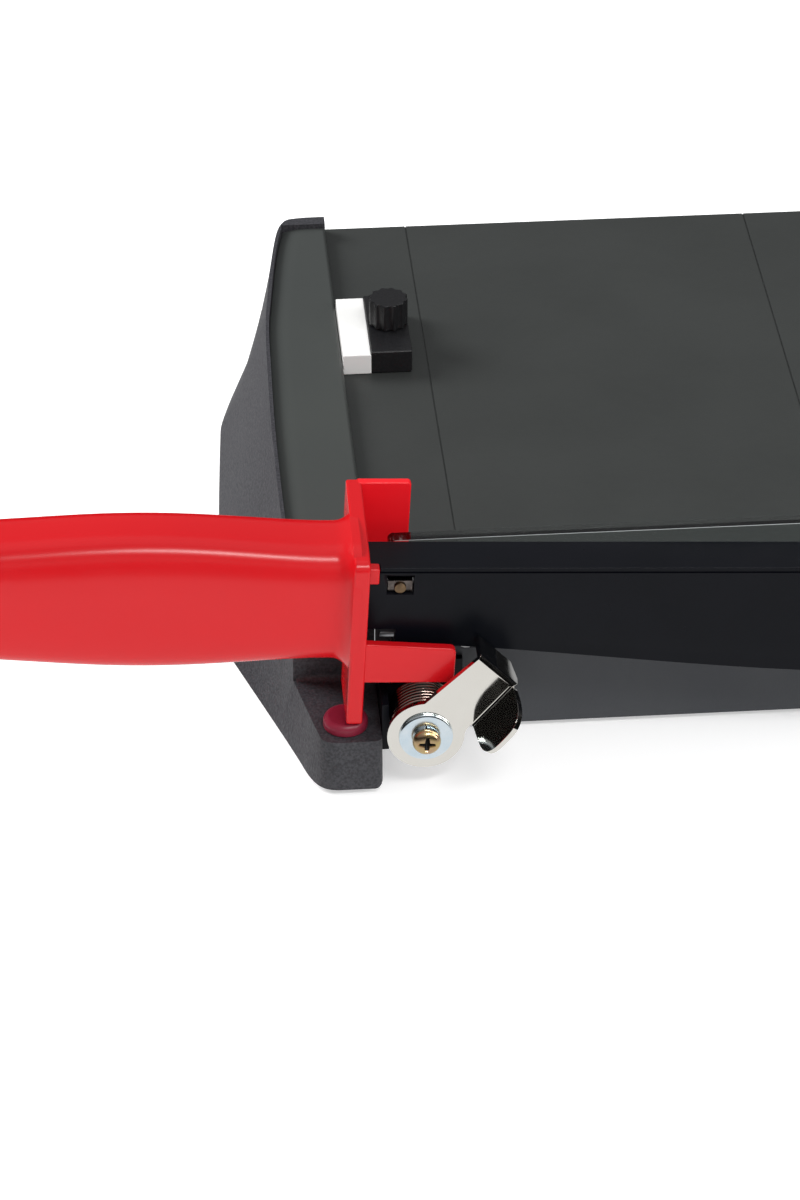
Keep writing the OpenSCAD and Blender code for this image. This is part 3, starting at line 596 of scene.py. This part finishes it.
def handle():
    """Grip, plate, two fins beside the arm and a lug, moulded as one."""
    obj = combine(hand_plate(), grip(), "UNION")
    root = -ARM_LEN - SINK
    lower = rounded([(root, -20, 0), (LOWER_FIN_END, -20, 0.9), (LOWER_FIN_END, -8.4, 1.7),
                     (root, -6.8, 0)])
    upper = rounded([(root, -6, 0), (UPPER_FIN_END, -6, 0.8), (UPPER_FIN_END, HAND_TOP, 1.0),
                     (root, HAND_TOP, 0)])
    for outline, faces_y in ((lower, LOWER_FIN_Y), (upper, UPPER_FIN_Y)):
        fin = soften(solid("fin", prism_y(outline, *faces_y), ARM), 0.45, 3)
        obj = combine(obj, fin, "UNION")
    lug = solid("lug", block(root, LUG_END, *LUG_Y, *LUG_W), ARM)
    obj = combine(obj, soften(lug, 0.5, 3), "UNION")
    end = -ARM_LEN - PLATE_T - GRIP_LEN
    verts, faces = revolve_y([(END_HOLE_R, -1), (END_HOLE_R, END_HOLE_DEEP)], sides=48)
    verts = [(end + y, END_HOLE_AT[0] + x, END_HOLE_AT[1] + z) for x, y, z in verts]
    obj = combine(obj, solid("hole", (verts, faces), ARM), "DIFFERENCE")
    obj.name = "handle_moulding"
    piece(smooth(obj, 34), "handle", "red_plastic", RED_PLASTIC, RED_PAINTED_LIGHT)
    # painted light: the upper fin gets a lighter copy of the same red, so it looks brighter than the
    # solid parts
    paint(obj, 1, lambda at, n: at.x > PAINTED_LIGHT_FROM[0] and at.y > PAINTED_LIGHT_FROM[1])


# ---- latch -----------------------------------------------------------------------------------

LATCH_T = 1.6
LATCH_MID = LATCH_T / 2
LATCH_R = 11.1
LATCH_BORE_R = 3.05
REACH = 29.75
HOOK_BEND = 0.88
HOOK_LINE = REACH - LATCH_T / 2 - HOOK_BEND
HOOK_DEEP = 11.2
HOOK_LOW = -5.2
HOOK_TOP = 8.4
TAB_FROM = Vector((11.2, -8.97))
TAB_TO = Vector((29.75, -6.83))
TAB_DEEP = 14.4
TAB_TURN = math.radians(90 - 9.4)
TAB_BEND = 1.7
TAB_SETBACK = 2.36
TAB_FLARE = 0.05
BEND_ROWS = 6


def bend(share, turn, radius):
    """How far out and how deep a bend of that turn and radius has gone at a share of its way."""
    return radius * math.sin(share * turn), radius * (1 - math.cos(share * turn))


def latch_blank(tab_from, tab_to):
    """Flat part's outline (a, b): an arc round the screw, then the bend lines of tab and hook."""
    start = math.atan2(8.3, 7.4)
    stop = 2 * math.pi - math.atan2(7.6, 8.0)
    steps = 40
    arc = [start + (stop - start) * k / steps for k in range(steps + 1)]
    outline = [(LATCH_R * math.cos(a), LATCH_R * math.sin(a)) for a in arc]
    outline += [(9.2, -7.0), (10.2, -6.75), tuple(tab_from), tuple(tab_to)]
    return outline + [(HOOK_LINE, HOOK_LOW), (HOOK_LINE, HOOK_TOP)]


def hook_rows():
    """Rows (a, y, lowest b, highest b) of the hook, bent to the inside, with one corner cut off."""
    rows = []
    for k in range(BEND_ROWS + 1):
        out, deep = bend(k / BEND_ROWS, math.pi / 2, HOOK_BEND)
        rows.append((HOOK_LINE + out, LATCH_MID + deep, HOOK_LOW - 1.6 * k / BEND_ROWS, HOOK_TOP))
    for deep, low in ((4.5, -7.2), (HOOK_DEEP, HOOK_LOW)):
        rows.append((REACH - LATCH_T / 2, deep, low, HOOK_TOP))
    return rows


def tab_rows():
    """Rows (distance out, y, first share, last share) of the thumb tab, a squared half oval.

    It is bent to the outside, and the shares are of the length of its bend line.
    """
    rows = []
    for k in range(BEND_ROWS + 1):
        out, deep = bend(k / BEND_ROWS, TAB_TURN, TAB_BEND)
        rows.append((out, LATCH_MID - deep, 0.0, 1 + TAB_FLARE * k / BEND_ROWS))
    out, y, _, _ = rows[-1]
    reach = TAB_DEEP + y
    steps = 20
    for k in range(1, steps + 1):
        t = min(math.sin(k / steps * math.pi / 2), 0.9992)
        left = 0.5 * (1 - t ** 5) ** (1 / 3.2)
        right = 0.5 * (1 - t ** 3.2) ** (1 / 2.9)
        rows.append((out + reach * t * math.cos(TAB_TURN), y - reach * t * math.sin(TAB_TURN),
                     (0.5 - left) * (1 + TAB_FLARE), (0.5 + right) * (1 + TAB_FLARE)))
    return rows


def latch_sheet():
    """Middle plane of the folded latch, with true bend radii, thickened to the sheet."""
    along = (TAB_TO - TAB_FROM).normalized()
    outward = Vector((along.y, -along.x))
    # the tab's bend starts inside the blank so that its outer face stands on the drawn line
    tab_from = TAB_FROM - outward * TAB_SETBACK + along * 0.6
    tab_to = TAB_TO - outward * TAB_SETBACK - along * 1.5
    length = (tab_to - tab_from).length
    b = bmesh.new()
    verts = {}

    def vert(a, y, bb):
        """Vertex at that point, the same one whenever it is asked for again."""
        key = (round(a, 4), round(y, 4), round(bb, 4))
        if key not in verts:
            verts[key] = b.verts.new((a, y, bb))
        return verts[key]

    b.faces.new([vert(a, LATCH_MID, bb) for a, bb in latch_blank(tab_from, tab_to)])
    rows = hook_rows()
    for r0, r1 in zip(rows, rows[1:]):
        b.faces.new([vert(r0[0], r0[1], r0[2]), vert(r0[0], r0[1], r0[3]),
                     vert(r1[0], r1[1], r1[3]), vert(r1[0], r1[1], r1[2])])
    rows = tab_rows()
    for r0, r1 in zip(rows, rows[1:]):
        ends = []
        for out, y, *shares in (r0, r1):
            spots = [tab_from + outward * out + along * length * share for share in shares]
            ends.append([(spot.x, y, spot.y) for spot in spots])
        (p0, q0), (p1, q1) = ends
        b.faces.new([vert(*p0), vert(*q0), vert(*q1), vert(*p1)])
    bmesh.ops.recalc_face_normals(b, faces=b.faces)
    mesh = bpy.data.meshes.new("latch_sheet")
    b.to_mesh(mesh)
    b.free()
    mesh.transform(LATCH)
    obj = bpy.data.objects.new("latch_sheet", mesh)
    bpy.context.scene.collection.objects.link(obj)
    m = obj.modifiers.new("thick", "SOLIDIFY")
    m.thickness = LATCH_T * MM
    m.offset = 0
    m.use_even_offset = True
    return settle(obj)


def latch_plate():
    """Pressed and plated latch: round end on the screw, thumb tab outwards, hook inwards."""
    obj = latch_sheet()
    hole = solid("hole", revolve_y([(LATCH_BORE_R, -2), (LATCH_BORE_R, 4)], sides=48), LATCH)
    combine(obj, hole, "DIFFERENCE")
    soften(obj, 0.22, 3, 40)
    piece(smooth(obj, 30), "latch_plate", "nickel", NICKEL)


def coil_spring():
    """Close coil whose end turns lie flat against the latch and the bracket."""
    mean_r, wire, turns, y0, y1 = 9.1, 0.6, 9.4, 2.25, 14.35
    end_turn = 0.35
    first_angle = 0.6
    sides = 16
    n = int(turns * 48)
    rings = []
    for i in range(n + 1):
        t = i / n
        a = 2 * math.pi * turns * t + first_angle
        y = y0 + (y1 - y0) * min(max((t * turns - end_turn) / (turns - 2 * end_turn), 0), 1)
        out = Vector((math.cos(a), 0, math.sin(a)))
        centre = Vector((0, y, LATCH_Z)) + out * mean_r
        ring = []
        for k in range(sides):
            b = 2 * math.pi * k / sides
            across = out * (wire * math.cos(b)) + Vector((0, wire * math.sin(b), 0))
            ring.append(tuple(centre + across))
        rings.append(ring)
    obj = solid("coil_spring", loft(rings), LAYOUT)
    # painted reflection: the coil gets the warm brown that stands in for the red fin's reflection
    piece(smooth(obj, 40), "latch_spring", "nickel", SPRING_PAINTED_REFLECTION)


def flat_washer():
    """Punched washer: rounded on the outer side, with a slightly dished face."""
    profile = [(2.15, -0.1), (7.6, -0.1), (7.75, -0.25), (7.75, -0.62), (7.66, -0.86), (7.45, -1.02),
               (7.1, -1.1), (4.6, -1.07), (2.5, -1.1), (2.15, -0.95)]
    obj = solid("washer", revolve_ring(profile, (0, LATCH_Z), 96), LAYOUT)
    piece(smooth(obj, 30), "latch_washer", "blue_zinc", BLUE_ZINC)


def lock_washer():
    """Split ring whose two ends stand a little apart along the screw."""
    section = [(2.2, -0.9), (2.2, -1.75), (2.3, -1.85), (3.65, -1.98), (3.82, -1.85), (3.82, -1.05),
               (3.7, -0.9)]
    gap = math.radians(8)
    drift = 0.2
    steps = 80
    rings = []
    for i in range(steps + 1):
        t = i / steps
        a = math.pi / 2 + gap / 2 + (2 * math.pi - gap) * t
        rings.append([(r * math.cos(a), y - drift * t, LATCH_Z + r * math.sin(a)) for r, y in section])
    obj = solid("split_ring", loft(rings), LAYOUT)
    piece(smooth(obj, 30), "latch_lock_washer", "plain_steel", BRIGHT_STEEL)


def cross_recess(at, face_y, depth, reach, turn):
    """Cutter for a cross-head recess at (x, z): four tapering wings that meet in a point."""
    rings = []
    for t, w in ((-1.0, 1.03), (0.0, 1.0), (0.35, 0.82), (0.75, 0.5), (1.0, 0.16)):
        ring = []
        for q in range(4):
            a = turn + q * math.pi / 2
            ahead = Vector((math.cos(a), math.sin(a)))
            side = Vector((-ahead.y, ahead.x))
            for u, v in ((0.28, -0.28), (1.0, -0.19), (1.0, 0.19)):
                p = ahead * (u * reach * w) + side * (v * reach * w)
                ring.append((at[0] + p.x, face_y + t * depth, at[1] + p.y))
        rings.append(ring)
    return solid("recess", loft(rings), LAYOUT)


def latch_screw():
    """Yellow-zinc pan-head screw with a cross recess, whose inside is painted dark as shade."""
    top = -4.9
    dome = [(0.02, top), (1.3, -4.86), (2.3, -4.72), (3.1, -4.42), (3.7, -3.95), (4.0, -3.35),
            (4.1, -2.7), (4.0, -2.2), (1.98, -2.2), (1.98, 21.0), (1.7, 21.2)]
    obj = solid("screw", revolve_y(dome, (0, LATCH_Z), 72), LAYOUT)
    combine(obj, cross_recess((0, LATCH_Z), top, 1.9, 2.75, math.radians(-4)), "DIFFERENCE")
    soften(obj, 0.09, 2, 50)
    piece(smooth(obj, 34), "latch_screw", "yellow_zinc", YELLOW_ZINC, RECESS_SHADE)

    def inside_recess(at, n):
        return -4.62 < at.y < -2.3 and math.hypot(at.x, at.z - LATCH_Z) < 2.4

    # painted shade: the faces inside the recess get the dark colour
    paint(obj, 1, inside_recess)


# ---- base moulding ---------------------------------------------------------------------------

CAP_IN = -12.2
MID_X = 165
FOOT_TOP = 17.5
WALL_Y = 34
FILLET_R = 1.9
SHEET_LOW = 38.2
FRONT_RIM = 45.5
REAR_RIM = 40
CLEAR_ABOVE = 60
RIM_T = 1.1
LEDGE_TOP = 44
LEDGE_FAR = 256
LEDGE_GAP = 0.1
VALLEY_W = 7.5
VALLEY_DEEP = 1.3
SLOT_Y = (60, 252)
SLOT_Z = (40.6, 42.4)
POST_AT = (-23, 238)
POST_R = 8
# outlines of the front cap at its bottom, at the top of its foot and at its rim, before rounding
LOW_SIDE = [(-12.2, 0), (-20, 0), (-28.5, 0), (-32.8, 5.5), (-36.4, 18.5), (-50, 60), (-54, 72),
            (-54, 95), (-53.9, 135), (-50.8, 193), (-49.9, 205), (-37.6, 248), (-34, 261.6),
            (-26, 262), (-12.2, 262)]
MID_SIDE = [(-12.2, 1.8), (-20, 1.8), (-29.2, 1.9), (-30.9, 9), (-34, 24), (-41, 58), (-45.3, 78),
            (-48, 103), (-48, 135), (-44.6, 192), (-43.2, 205), (-32.6, 243), (-29.4, 260.6),
            (-23, 261.4), (-12.2, 261.4)]
TOP_SIDE = [(-12.2, 2), (-20, 2), (-30, 3), (-33, 10), (-36, 26), (-36.2, 55), (-36.6, 78),
            (-36.8, 103), (-36.8, 135), (-35.6, 190), (-34.2, 205), (-30.6, 240), (-27, 259.4),
            (-20, 260.8), (-12.2, 260.8)]
HOLLOW_LOW = [(-11, 37), (-36, 37), (-47, 70), (-49, 133), (-45, 195), (-31, 250), (-11, 250)]
HOLLOW_TOP = [(-11, 37), (-32, 37), (-33, 100), (-33, 170), (-30, 220), (-24, 248), (-11, 248)]


def plate_at(outline, z):
    """Outline of (x, y) points laid at height z."""
    return [(x, y, z) for x, y in outline]


def rim_inside(gap):
    """Inner line of the cap's rim from front to far end, moved inwards by the gap."""
    curve = corner_cut(TOP_SIDE)
    line = []
    for p, q in zip(curve, curve[1:]):
        p, q = Vector(p), Vector(q)
        inward = Vector((q.y - p.y, p.x - q.x)).normalized()
        at = (p + q) / 2 + inward * (RIM_T + gap)
        if WALL_Y + 1 < at.y < LEDGE_FAR - 1:
            line.append(at)
    return [Vector((line[0].x, WALL_Y))] + line + [Vector((line[-1].x, LEDGE_FAR - gap))]


def foot_fillet():
    """Outline (y, z) of the hollow corner where the wall rises from the foot."""
    turns = [math.pi / 2 * k / 6 for k in range(7)]
    curve = [(WALL_Y - FILLET_R * (1 - math.cos(a)), FOOT_TOP + FILLET_R * (1 - math.sin(a)))
             for a in turns]
    low = FOOT_TOP - 0.6
    back = WALL_Y + 0.6
    return curve + [(WALL_Y - FILLET_R, low), (back, low), (back, FOOT_TOP + FILLET_R)]


def front_foot_edge(at):
    """Whether a point is on the lower or front edges of the inner end of the front cap's foot."""
    low_or_front = at.z < 2.2 or at.y < 2.2
    return low_or_front and at.y < WALL_Y and at.z < FOOT_TOP - 1 and abs(at.x - CAP_IN) < 0.1


def end_cap(node, rim, place):
    """Moulded end cap: bumper foot in front, and a leaning wall that sweeps round behind it."""
    levels = ((LOW_SIDE, 2), (MID_SIDE, FOOT_TOP), (TOP_SIDE, rim))
    cap = solid(node, loft([plate_at(corner_cut(side), z) for side, z in levels]), place)
    above_foot = solid("above_foot", block(-60, 0, -1, WALL_Y, FOOT_TOP, CLEAR_ABOVE), place)
    combine(cap, above_foot, "DIFFERENCE")
    combine(cap, solid("fillet", prism_x(foot_fillet(), -35.3, CAP_IN), place), "UNION")
    hollow = loft([plate_at(HOLLOW_LOW, 1), plate_at(HOLLOW_TOP, SHEET_LOW - 3)])
    combine(cap, solid("hollow", hollow, place), "DIFFERENCE")
    if rim > LEDGE_TOP:
        line = [(at.x, at.y) for at in rim_inside(0)]
        seat = [(0, WALL_Y - 1), (line[0][0], WALL_Y - 1)] + line + [(0, LEDGE_FAR)]
        drawing = loft([plate_at(seat, z) for z in (SHEET_LOW, CLEAR_ABOVE)])
        combine(cap, solid("seat", drawing, place), "DIFFERENCE")
    verts, faces = revolve_y([(POST_R, 2), (POST_R, SHEET_LOW - 1)], sides=40)
    verts = [(POST_AT[0] + x, POST_AT[1] + z, y) for x, y, z in verts]
    combine(cap, solid("post", (verts, faces), place), "UNION")
    cap.name = node + "_moulding"
    round_over(cap, 2.2, 5, front_foot_edge)
    ease_edges(cap, 0.9, 4)
    piece(smooth(cap, 40), node, "cap_plastic", CAP_PLASTIC)


def paper_ledge():
    """Smooth ledge that dips towards the cap's rim and has a slot under its table edge."""
    rings = []
    steps = 12
    for at in rim_inside(LEDGE_GAP):
        ramp = [(at.x + VALLEY_W * (1 - k / steps), LEDGE_TOP - VALLEY_DEEP * (k / steps) ** 2)
                for k in range(steps + 1)]
        edge = rounded([(CAP_IN, SHEET_LOW, 0), (CAP_IN, LEDGE_TOP, 1.2), (ramp[0][0], LEDGE_TOP, 0)])
        rings.append([(x, at.y, z) for x, z in edge[:-1] + ramp + [(at.x, SHEET_LOW)]])
    obj = solid("ledge", loft(rings), LAYOUT)
    slot = solid("slot", block(CAP_IN - 3, CAP_IN + 1, *SLOT_Y, *SLOT_Z), LAYOUT)
    combine(obj, slot, "DIFFERENCE")
    soften(obj, 0.25, 2, 45)
    piece(smooth(obj, 34), "paper_ledge", "ledge_plastic", LEDGE_PLASTIC)


# ---- arm and blade ---------------------------------------------------------------------------

ARM_FACE_Y = 11.7
EDGE_W = -11.4
BELLY = 10.8
BELLY_AT = -172
BELLY_HALF = 160
BLADE_BELOW = 6.5
BEVEL_FRONT = 23.3
BEVEL_BACK = 25.75
BEVEL_TALL = 3.2
BEVEL_SPARE = 0.6
BEVEL_FROM = -344
BEVEL_STEP = 6
BEVEL_ROWS = 58
CURVED_EDGE = (-332, -12)
ROLLED_EDGE = (-336, -3)
GUARD_TOP_Z = 67.8
GUARD_ENDS = (-5, 337)


def low_edge(u):
    """Lower edge of the arm in the arm frame."""
    return EDGE_W - BELLY * max(0.0, 1 - ((u - BELLY_AT) / BELLY_HALF) ** 2) ** 1.6


def arm_beam():
    """Folded channel: the outer lower edge is rolled round, the others are only eased."""
    obj = cad_copy("arm_beam")
    to_arm = ARM.inverted() @ LAYOUT

    def lower_outer(at):
        p = to_arm @ at
        on_face = abs(p.y - ARM_FACE_Y) < 0.1
        along = ROLLED_EDGE[0] < p.x < ROLLED_EDGE[1]
        return on_face and along and p.z < low_edge(p.x) + 0.5

    round_over(obj, 2.0, 5, lower_outer)
    ease_edges(obj, 0.5)
    piece(smooth(obj), "arm_beam", "arm_coating", ARM_COAT)


def blade():
    """Blackened blade whose cutting edge is ground bright on its outer side."""
    obj = cad_copy("blade")
    rings = []
    for i in range(BEVEL_ROWS):
        u = BEVEL_FROM + BEVEL_STEP * i
        edge = low_edge(max(min(u, CURVED_EDGE[1]), CURVED_EDGE[0])) - BLADE_BELOW
        rings.append([(u, BEVEL_FRONT, edge - BEVEL_SPARE), (u, BEVEL_FRONT, edge + BEVEL_TALL),
                      (u, BEVEL_BACK, edge - BEVEL_SPARE)])
    combine(obj, solid("wedge", loft(rings), ARM), "DIFFERENCE")
    soften(obj, 0.08, 2, 40)
    piece(smooth(obj), "blade", "knife_steel", BLACK_OXIDE, KNIFE_STEEL)
    paint(obj, 1, lambda at, n: n.z < -0.25 and n.y < -0.25)


def lower_knife():
    """Fixed knife along the table's edge, ground bright on top."""
    obj = soften(cad_copy("lower_knife"), 0.15, 2)
    piece(smooth(obj), "lower_knife", "knife_steel", BLACK_OXIDE, KNIFE_STEEL)
    paint(obj, 1, lambda at, n: n.z > 0.5)


def blade_guard():
    """Clear guard with its long top edges chamfered.

    It casts no shadow, because clear sheet hardly does.
    """
    obj = cad_copy("blade_guard")
    round_over(obj, 0.2, 1, lambda at: at.z > GUARD_TOP_Z and GUARD_ENDS[0] < at.x < GUARD_ENDS[1],
               clamp=False)
    piece(smooth(obj), "blade_guard", "clear_guard", CLEAR_GUARD, GUARD_EDGE_HIGHLIGHT)
    # painted highlight: the chamfer faces get the pale edge finish
    paint(obj, 1, lambda at, n: 0.3 < abs(n.y) < 0.95)
    obj.visible_shadow = False


# ---- plain refined nodes ---------------------------------------------------------------------

REFINED = [
    # node, edge radius in mm, segments, slot, finish
    ("table_plate", 0.35, 3, "table_coating", TABLE_COAT),
    ("blade_side_rail", 0.7, 3, "rail_coating", RAIL_COAT),
    ("far_side_rail", 0.7, 3, "rail_coating", RAIL_COAT),
    ("cross_ribs", 0.5, 3, "rail_coating", RAIL_COAT),
    ("knife_screws", 0.12, 2, "plain_steel", PLAIN_STEEL),
    ("guard_front_bracket", 0.4, 3, "arm_coating", ARM_COAT),
    ("guard_rear_block", 0.8, 3, "black_plastic", BLACK_PLASTIC),
    ("guard_screws", 0.4, 3, "plain_steel", PLAIN_STEEL),
    ("bumper", 0.5, 3, "bumper_rubber", BUMPER_RUBBER),
    ("rubber_feet", 0.4, 3, "foot_rubber", FOOT_RUBBER),
    ("cap_screws", 0.3, 2, "plain_steel", PLAIN_STEEL),
    ("latch_bracket", 0.4, 3, "rail_coating", ARM_COAT),
    ("bracket_screws", 0.5, 3, "plain_steel", PLAIN_STEEL),
    ("latch_sleeve", 0.15, 2, "plain_steel", PLAIN_STEEL),
    ("latch_nut", 0.3, 2, "plain_steel", PLAIN_STEEL),
    ("pivot_bracket", 0.4, 3, "rail_coating", RAIL_COAT),
    ("pivot_backplate", 0.4, 3, "rail_coating", RAIL_COAT),
    ("pivot_screws", 0.5, 3, "plain_steel", PLAIN_STEEL),
    ("pivot_bolt", 0.4, 3, "plain_steel", PLAIN_STEEL),
    ("pivot_disc_spring", 0.2, 2, "plain_steel", PLAIN_STEEL),
    ("pivot_spacer", 0.3, 2, "brass", BRASS),
    ("pivot_nut", 0.5, 3, "plain_steel", PLAIN_STEEL),
    ("arm_cover", 0.3, 3, "arm_coating", ARM_COAT),
    ("arm_bush", 0.15, 2, "brass", BRASS),
    ("blade_screws", 0.12, 2, "plain_steel", PLAIN_STEEL),
    ("handle_tang", 0.2, 2, "plain_steel", PLAIN_STEEL),
    ("tang_rivets", 0.2, 2, "plain_steel", PLAIN_STEEL),
    # painted shade: the tang nut and screw get darkened finishes for the shade they sit in
    ("tang_nut", 0.25, 2, "nickel", NICKEL_PAINTED_SHADE),
    ("tang_screw", 0.2, 2, "brass", BRASS_PAINTED_SHADE),
    ("grip_screw", 0.3, 2, "plain_steel", PLAIN_STEEL),
    ("stop_shoe", 0.5, 3, "white_plastic", WHITE_PLASTIC),
    ("stop_block", 0.7, 4, "black_plastic", BLACK_PLASTIC),
    ("stop_insert", 0.2, 2, "brass", BRASS),
    ("stop_knob", 0.4, 3, "black_plastic", BLACK_PLASTIC),
]

# nodes with short edges beside long ones, where only the long ones are rounded
BOXY = ("table_plate", "blade_side_rail", "far_side_rail", "guard_front_bracket", "guard_rear_block",
        "latch_bracket", "pivot_bracket", "pivot_backplate", "handle_tang")


def refine_nodes():
    """CAD nodes that need only rounded edges and a finish."""
    for node, width, segments, slot, finish in REFINED:
        obj = (ease_edges if node in BOXY else soften)(cad_copy(node), width, segments)
        piece(smooth(obj), node, slot, finish)


# ---- stage -----------------------------------------------------------------------------------


def floor():
    """Pale floor that glows a little and isn't seen in reflections."""
    finish = Finish("floor", (0.8, 0.8, 0.8, 1), 0.6, Specular_IOR_Level=0.1,
                    Emission_Color=(1, 1, 1, 1), Emission_Strength=0.42)
    obj = solid("floor", block(-5000, 5000, -5000, 5000, -20, -0.1), LAYOUT)
    obj.data.materials.append(finish.material)
    obj.visible_glossy = False


def black_cards():
    """Ring of black card around the table, seen only in reflections."""
    sides = 48
    radius = 2500
    turns = [2 * math.pi * k / sides for k in range(sides)]
    rings = [[(radius * math.cos(a), radius * math.sin(a), z) for a in turns] for z in (-620, 800)]
    verts, faces = loft(rings)
    card = solid("black_card", (verts, faces[:-2]), LAYOUT)
    finish = Finish("card", (0.004, 0.004, 0.004, 1), 0.9, Specular_IOR_Level=0.0)
    card.data.materials.append(finish.material)
    card.visible_camera = card.visible_diffuse = False
    card.visible_shadow = card.visible_transmission = False


def room():
    """World that is white below, grey at the horizon and darkest halfway up."""
    world = bpy.data.worlds.new("room")
    bpy.context.scene.world = world
    world.use_nodes = True
    tree = world.node_tree
    back = tree.nodes["Background"]
    where = tree.nodes.new("ShaderNodeTexCoord")
    split = tree.nodes.new("ShaderNodeSeparateXYZ")
    shift = tree.nodes.new("ShaderNodeMath")
    shift.operation = "MULTIPLY_ADD"
    shift.inputs[1].default_value = 0.5
    shift.inputs[2].default_value = 0.5
    ramp = tree.nodes.new("ShaderNodeValToRGB")
    tree.links.new(where.outputs["Generated"], split.inputs[0])
    tree.links.new(split.outputs["Z"], shift.inputs[0])
    tree.links.new(shift.outputs[0], ramp.inputs["Fac"])
    tree.links.new(ramp.outputs["Color"], back.inputs["Color"])
    stops = ramp.color_ramp.elements
    stops[0].position, stops[0].color = 0.0, (1.0, 1.0, 1.0, 1)
    stops[1].position, stops[1].color = 1.0, (0.5, 0.5, 0.52, 1)
    for position, level in ((0.40, 1.0), (0.52, 0.55), (0.75, 0.3)):
        stops.new(position).color = (level, level, level, 1)
    back.inputs["Strength"].default_value = 0.85


def softbox(name, at, aim, size, power, reflected=True):
    """Rectangular lamp at a point, turned to another, both in metres."""
    data = bpy.data.lights.new(name, "AREA")
    data.shape = "RECTANGLE"
    data.size, data.size_y = size
    data.energy = power
    lamp = bpy.data.objects.new(name, data)
    bpy.context.scene.collection.objects.link(lamp)
    lamp.location = at
    lamp.rotation_euler = (Vector(aim) - Vector(at)).to_track_quat("-Z", "Y").to_euler()
    lamp.visible_glossy = reflected


def studio():
    """Floor, room and lamps; the lamps in front and behind aren't seen in reflections."""
    floor()
    black_cards()
    room()
    softbox("key", (0.3, -1.2, 1.62), (-0.05, -0.1, 0.0), (1.0, 0.3), 16)
    softbox("overhead", (0.1, 0.3, 1.7), (0.0, 0.0, 0.0), (1.6, 1.2), 2)
    softbox("front_fill", (-0.1, -2.0, 0.7), (-0.05, 0.0, 0.0), (1.4, 0.8), 8, reflected=False)
    softbox("back_left", (-1.4, 0.8, 0.9), (-0.1, 0.0, 0.0), (0.8, 0.8), 42, reflected=False)
    softbox("side", (1.3, -0.8, 1.1), (-0.05, 0.0, 0.0), (0.7, 0.7), 10)


def camera():
    """Long lens in front of the grip, looking down at the table's front end."""
    data = bpy.data.cameras.new("camera")
    data.lens = 127.59
    data.sensor_width = 36
    data.clip_end = 50
    cam = bpy.data.objects.new("camera", data)
    cam.location = LAYOUT @ Vector((-84.960, -980.830, 733.360))
    cam.rotation_euler = (math.radians(55.9), 0, math.radians(-4.52))
    bpy.context.scene.collection.objects.link(cam)
    bpy.context.scene.camera = cam
    bpy.context.scene.view_settings.view_transform = "Standard"


camera()
studio()
refine_nodes()
handle()
latch_plate()
coil_spring()
flat_washer()
lock_washer()
latch_screw()
end_cap("front_cap", FRONT_RIM, LAYOUT)
mirrored = Matrix.Translation((2 * MID_X, 0, 0)) @ Matrix.Scale(-1, 4, (1, 0, 0))
end_cap("rear_cap", REAR_RIM, LAYOUT @ mirrored)
paper_ledge()
arm_beam()
blade()
lower_knife()
blade_guard()
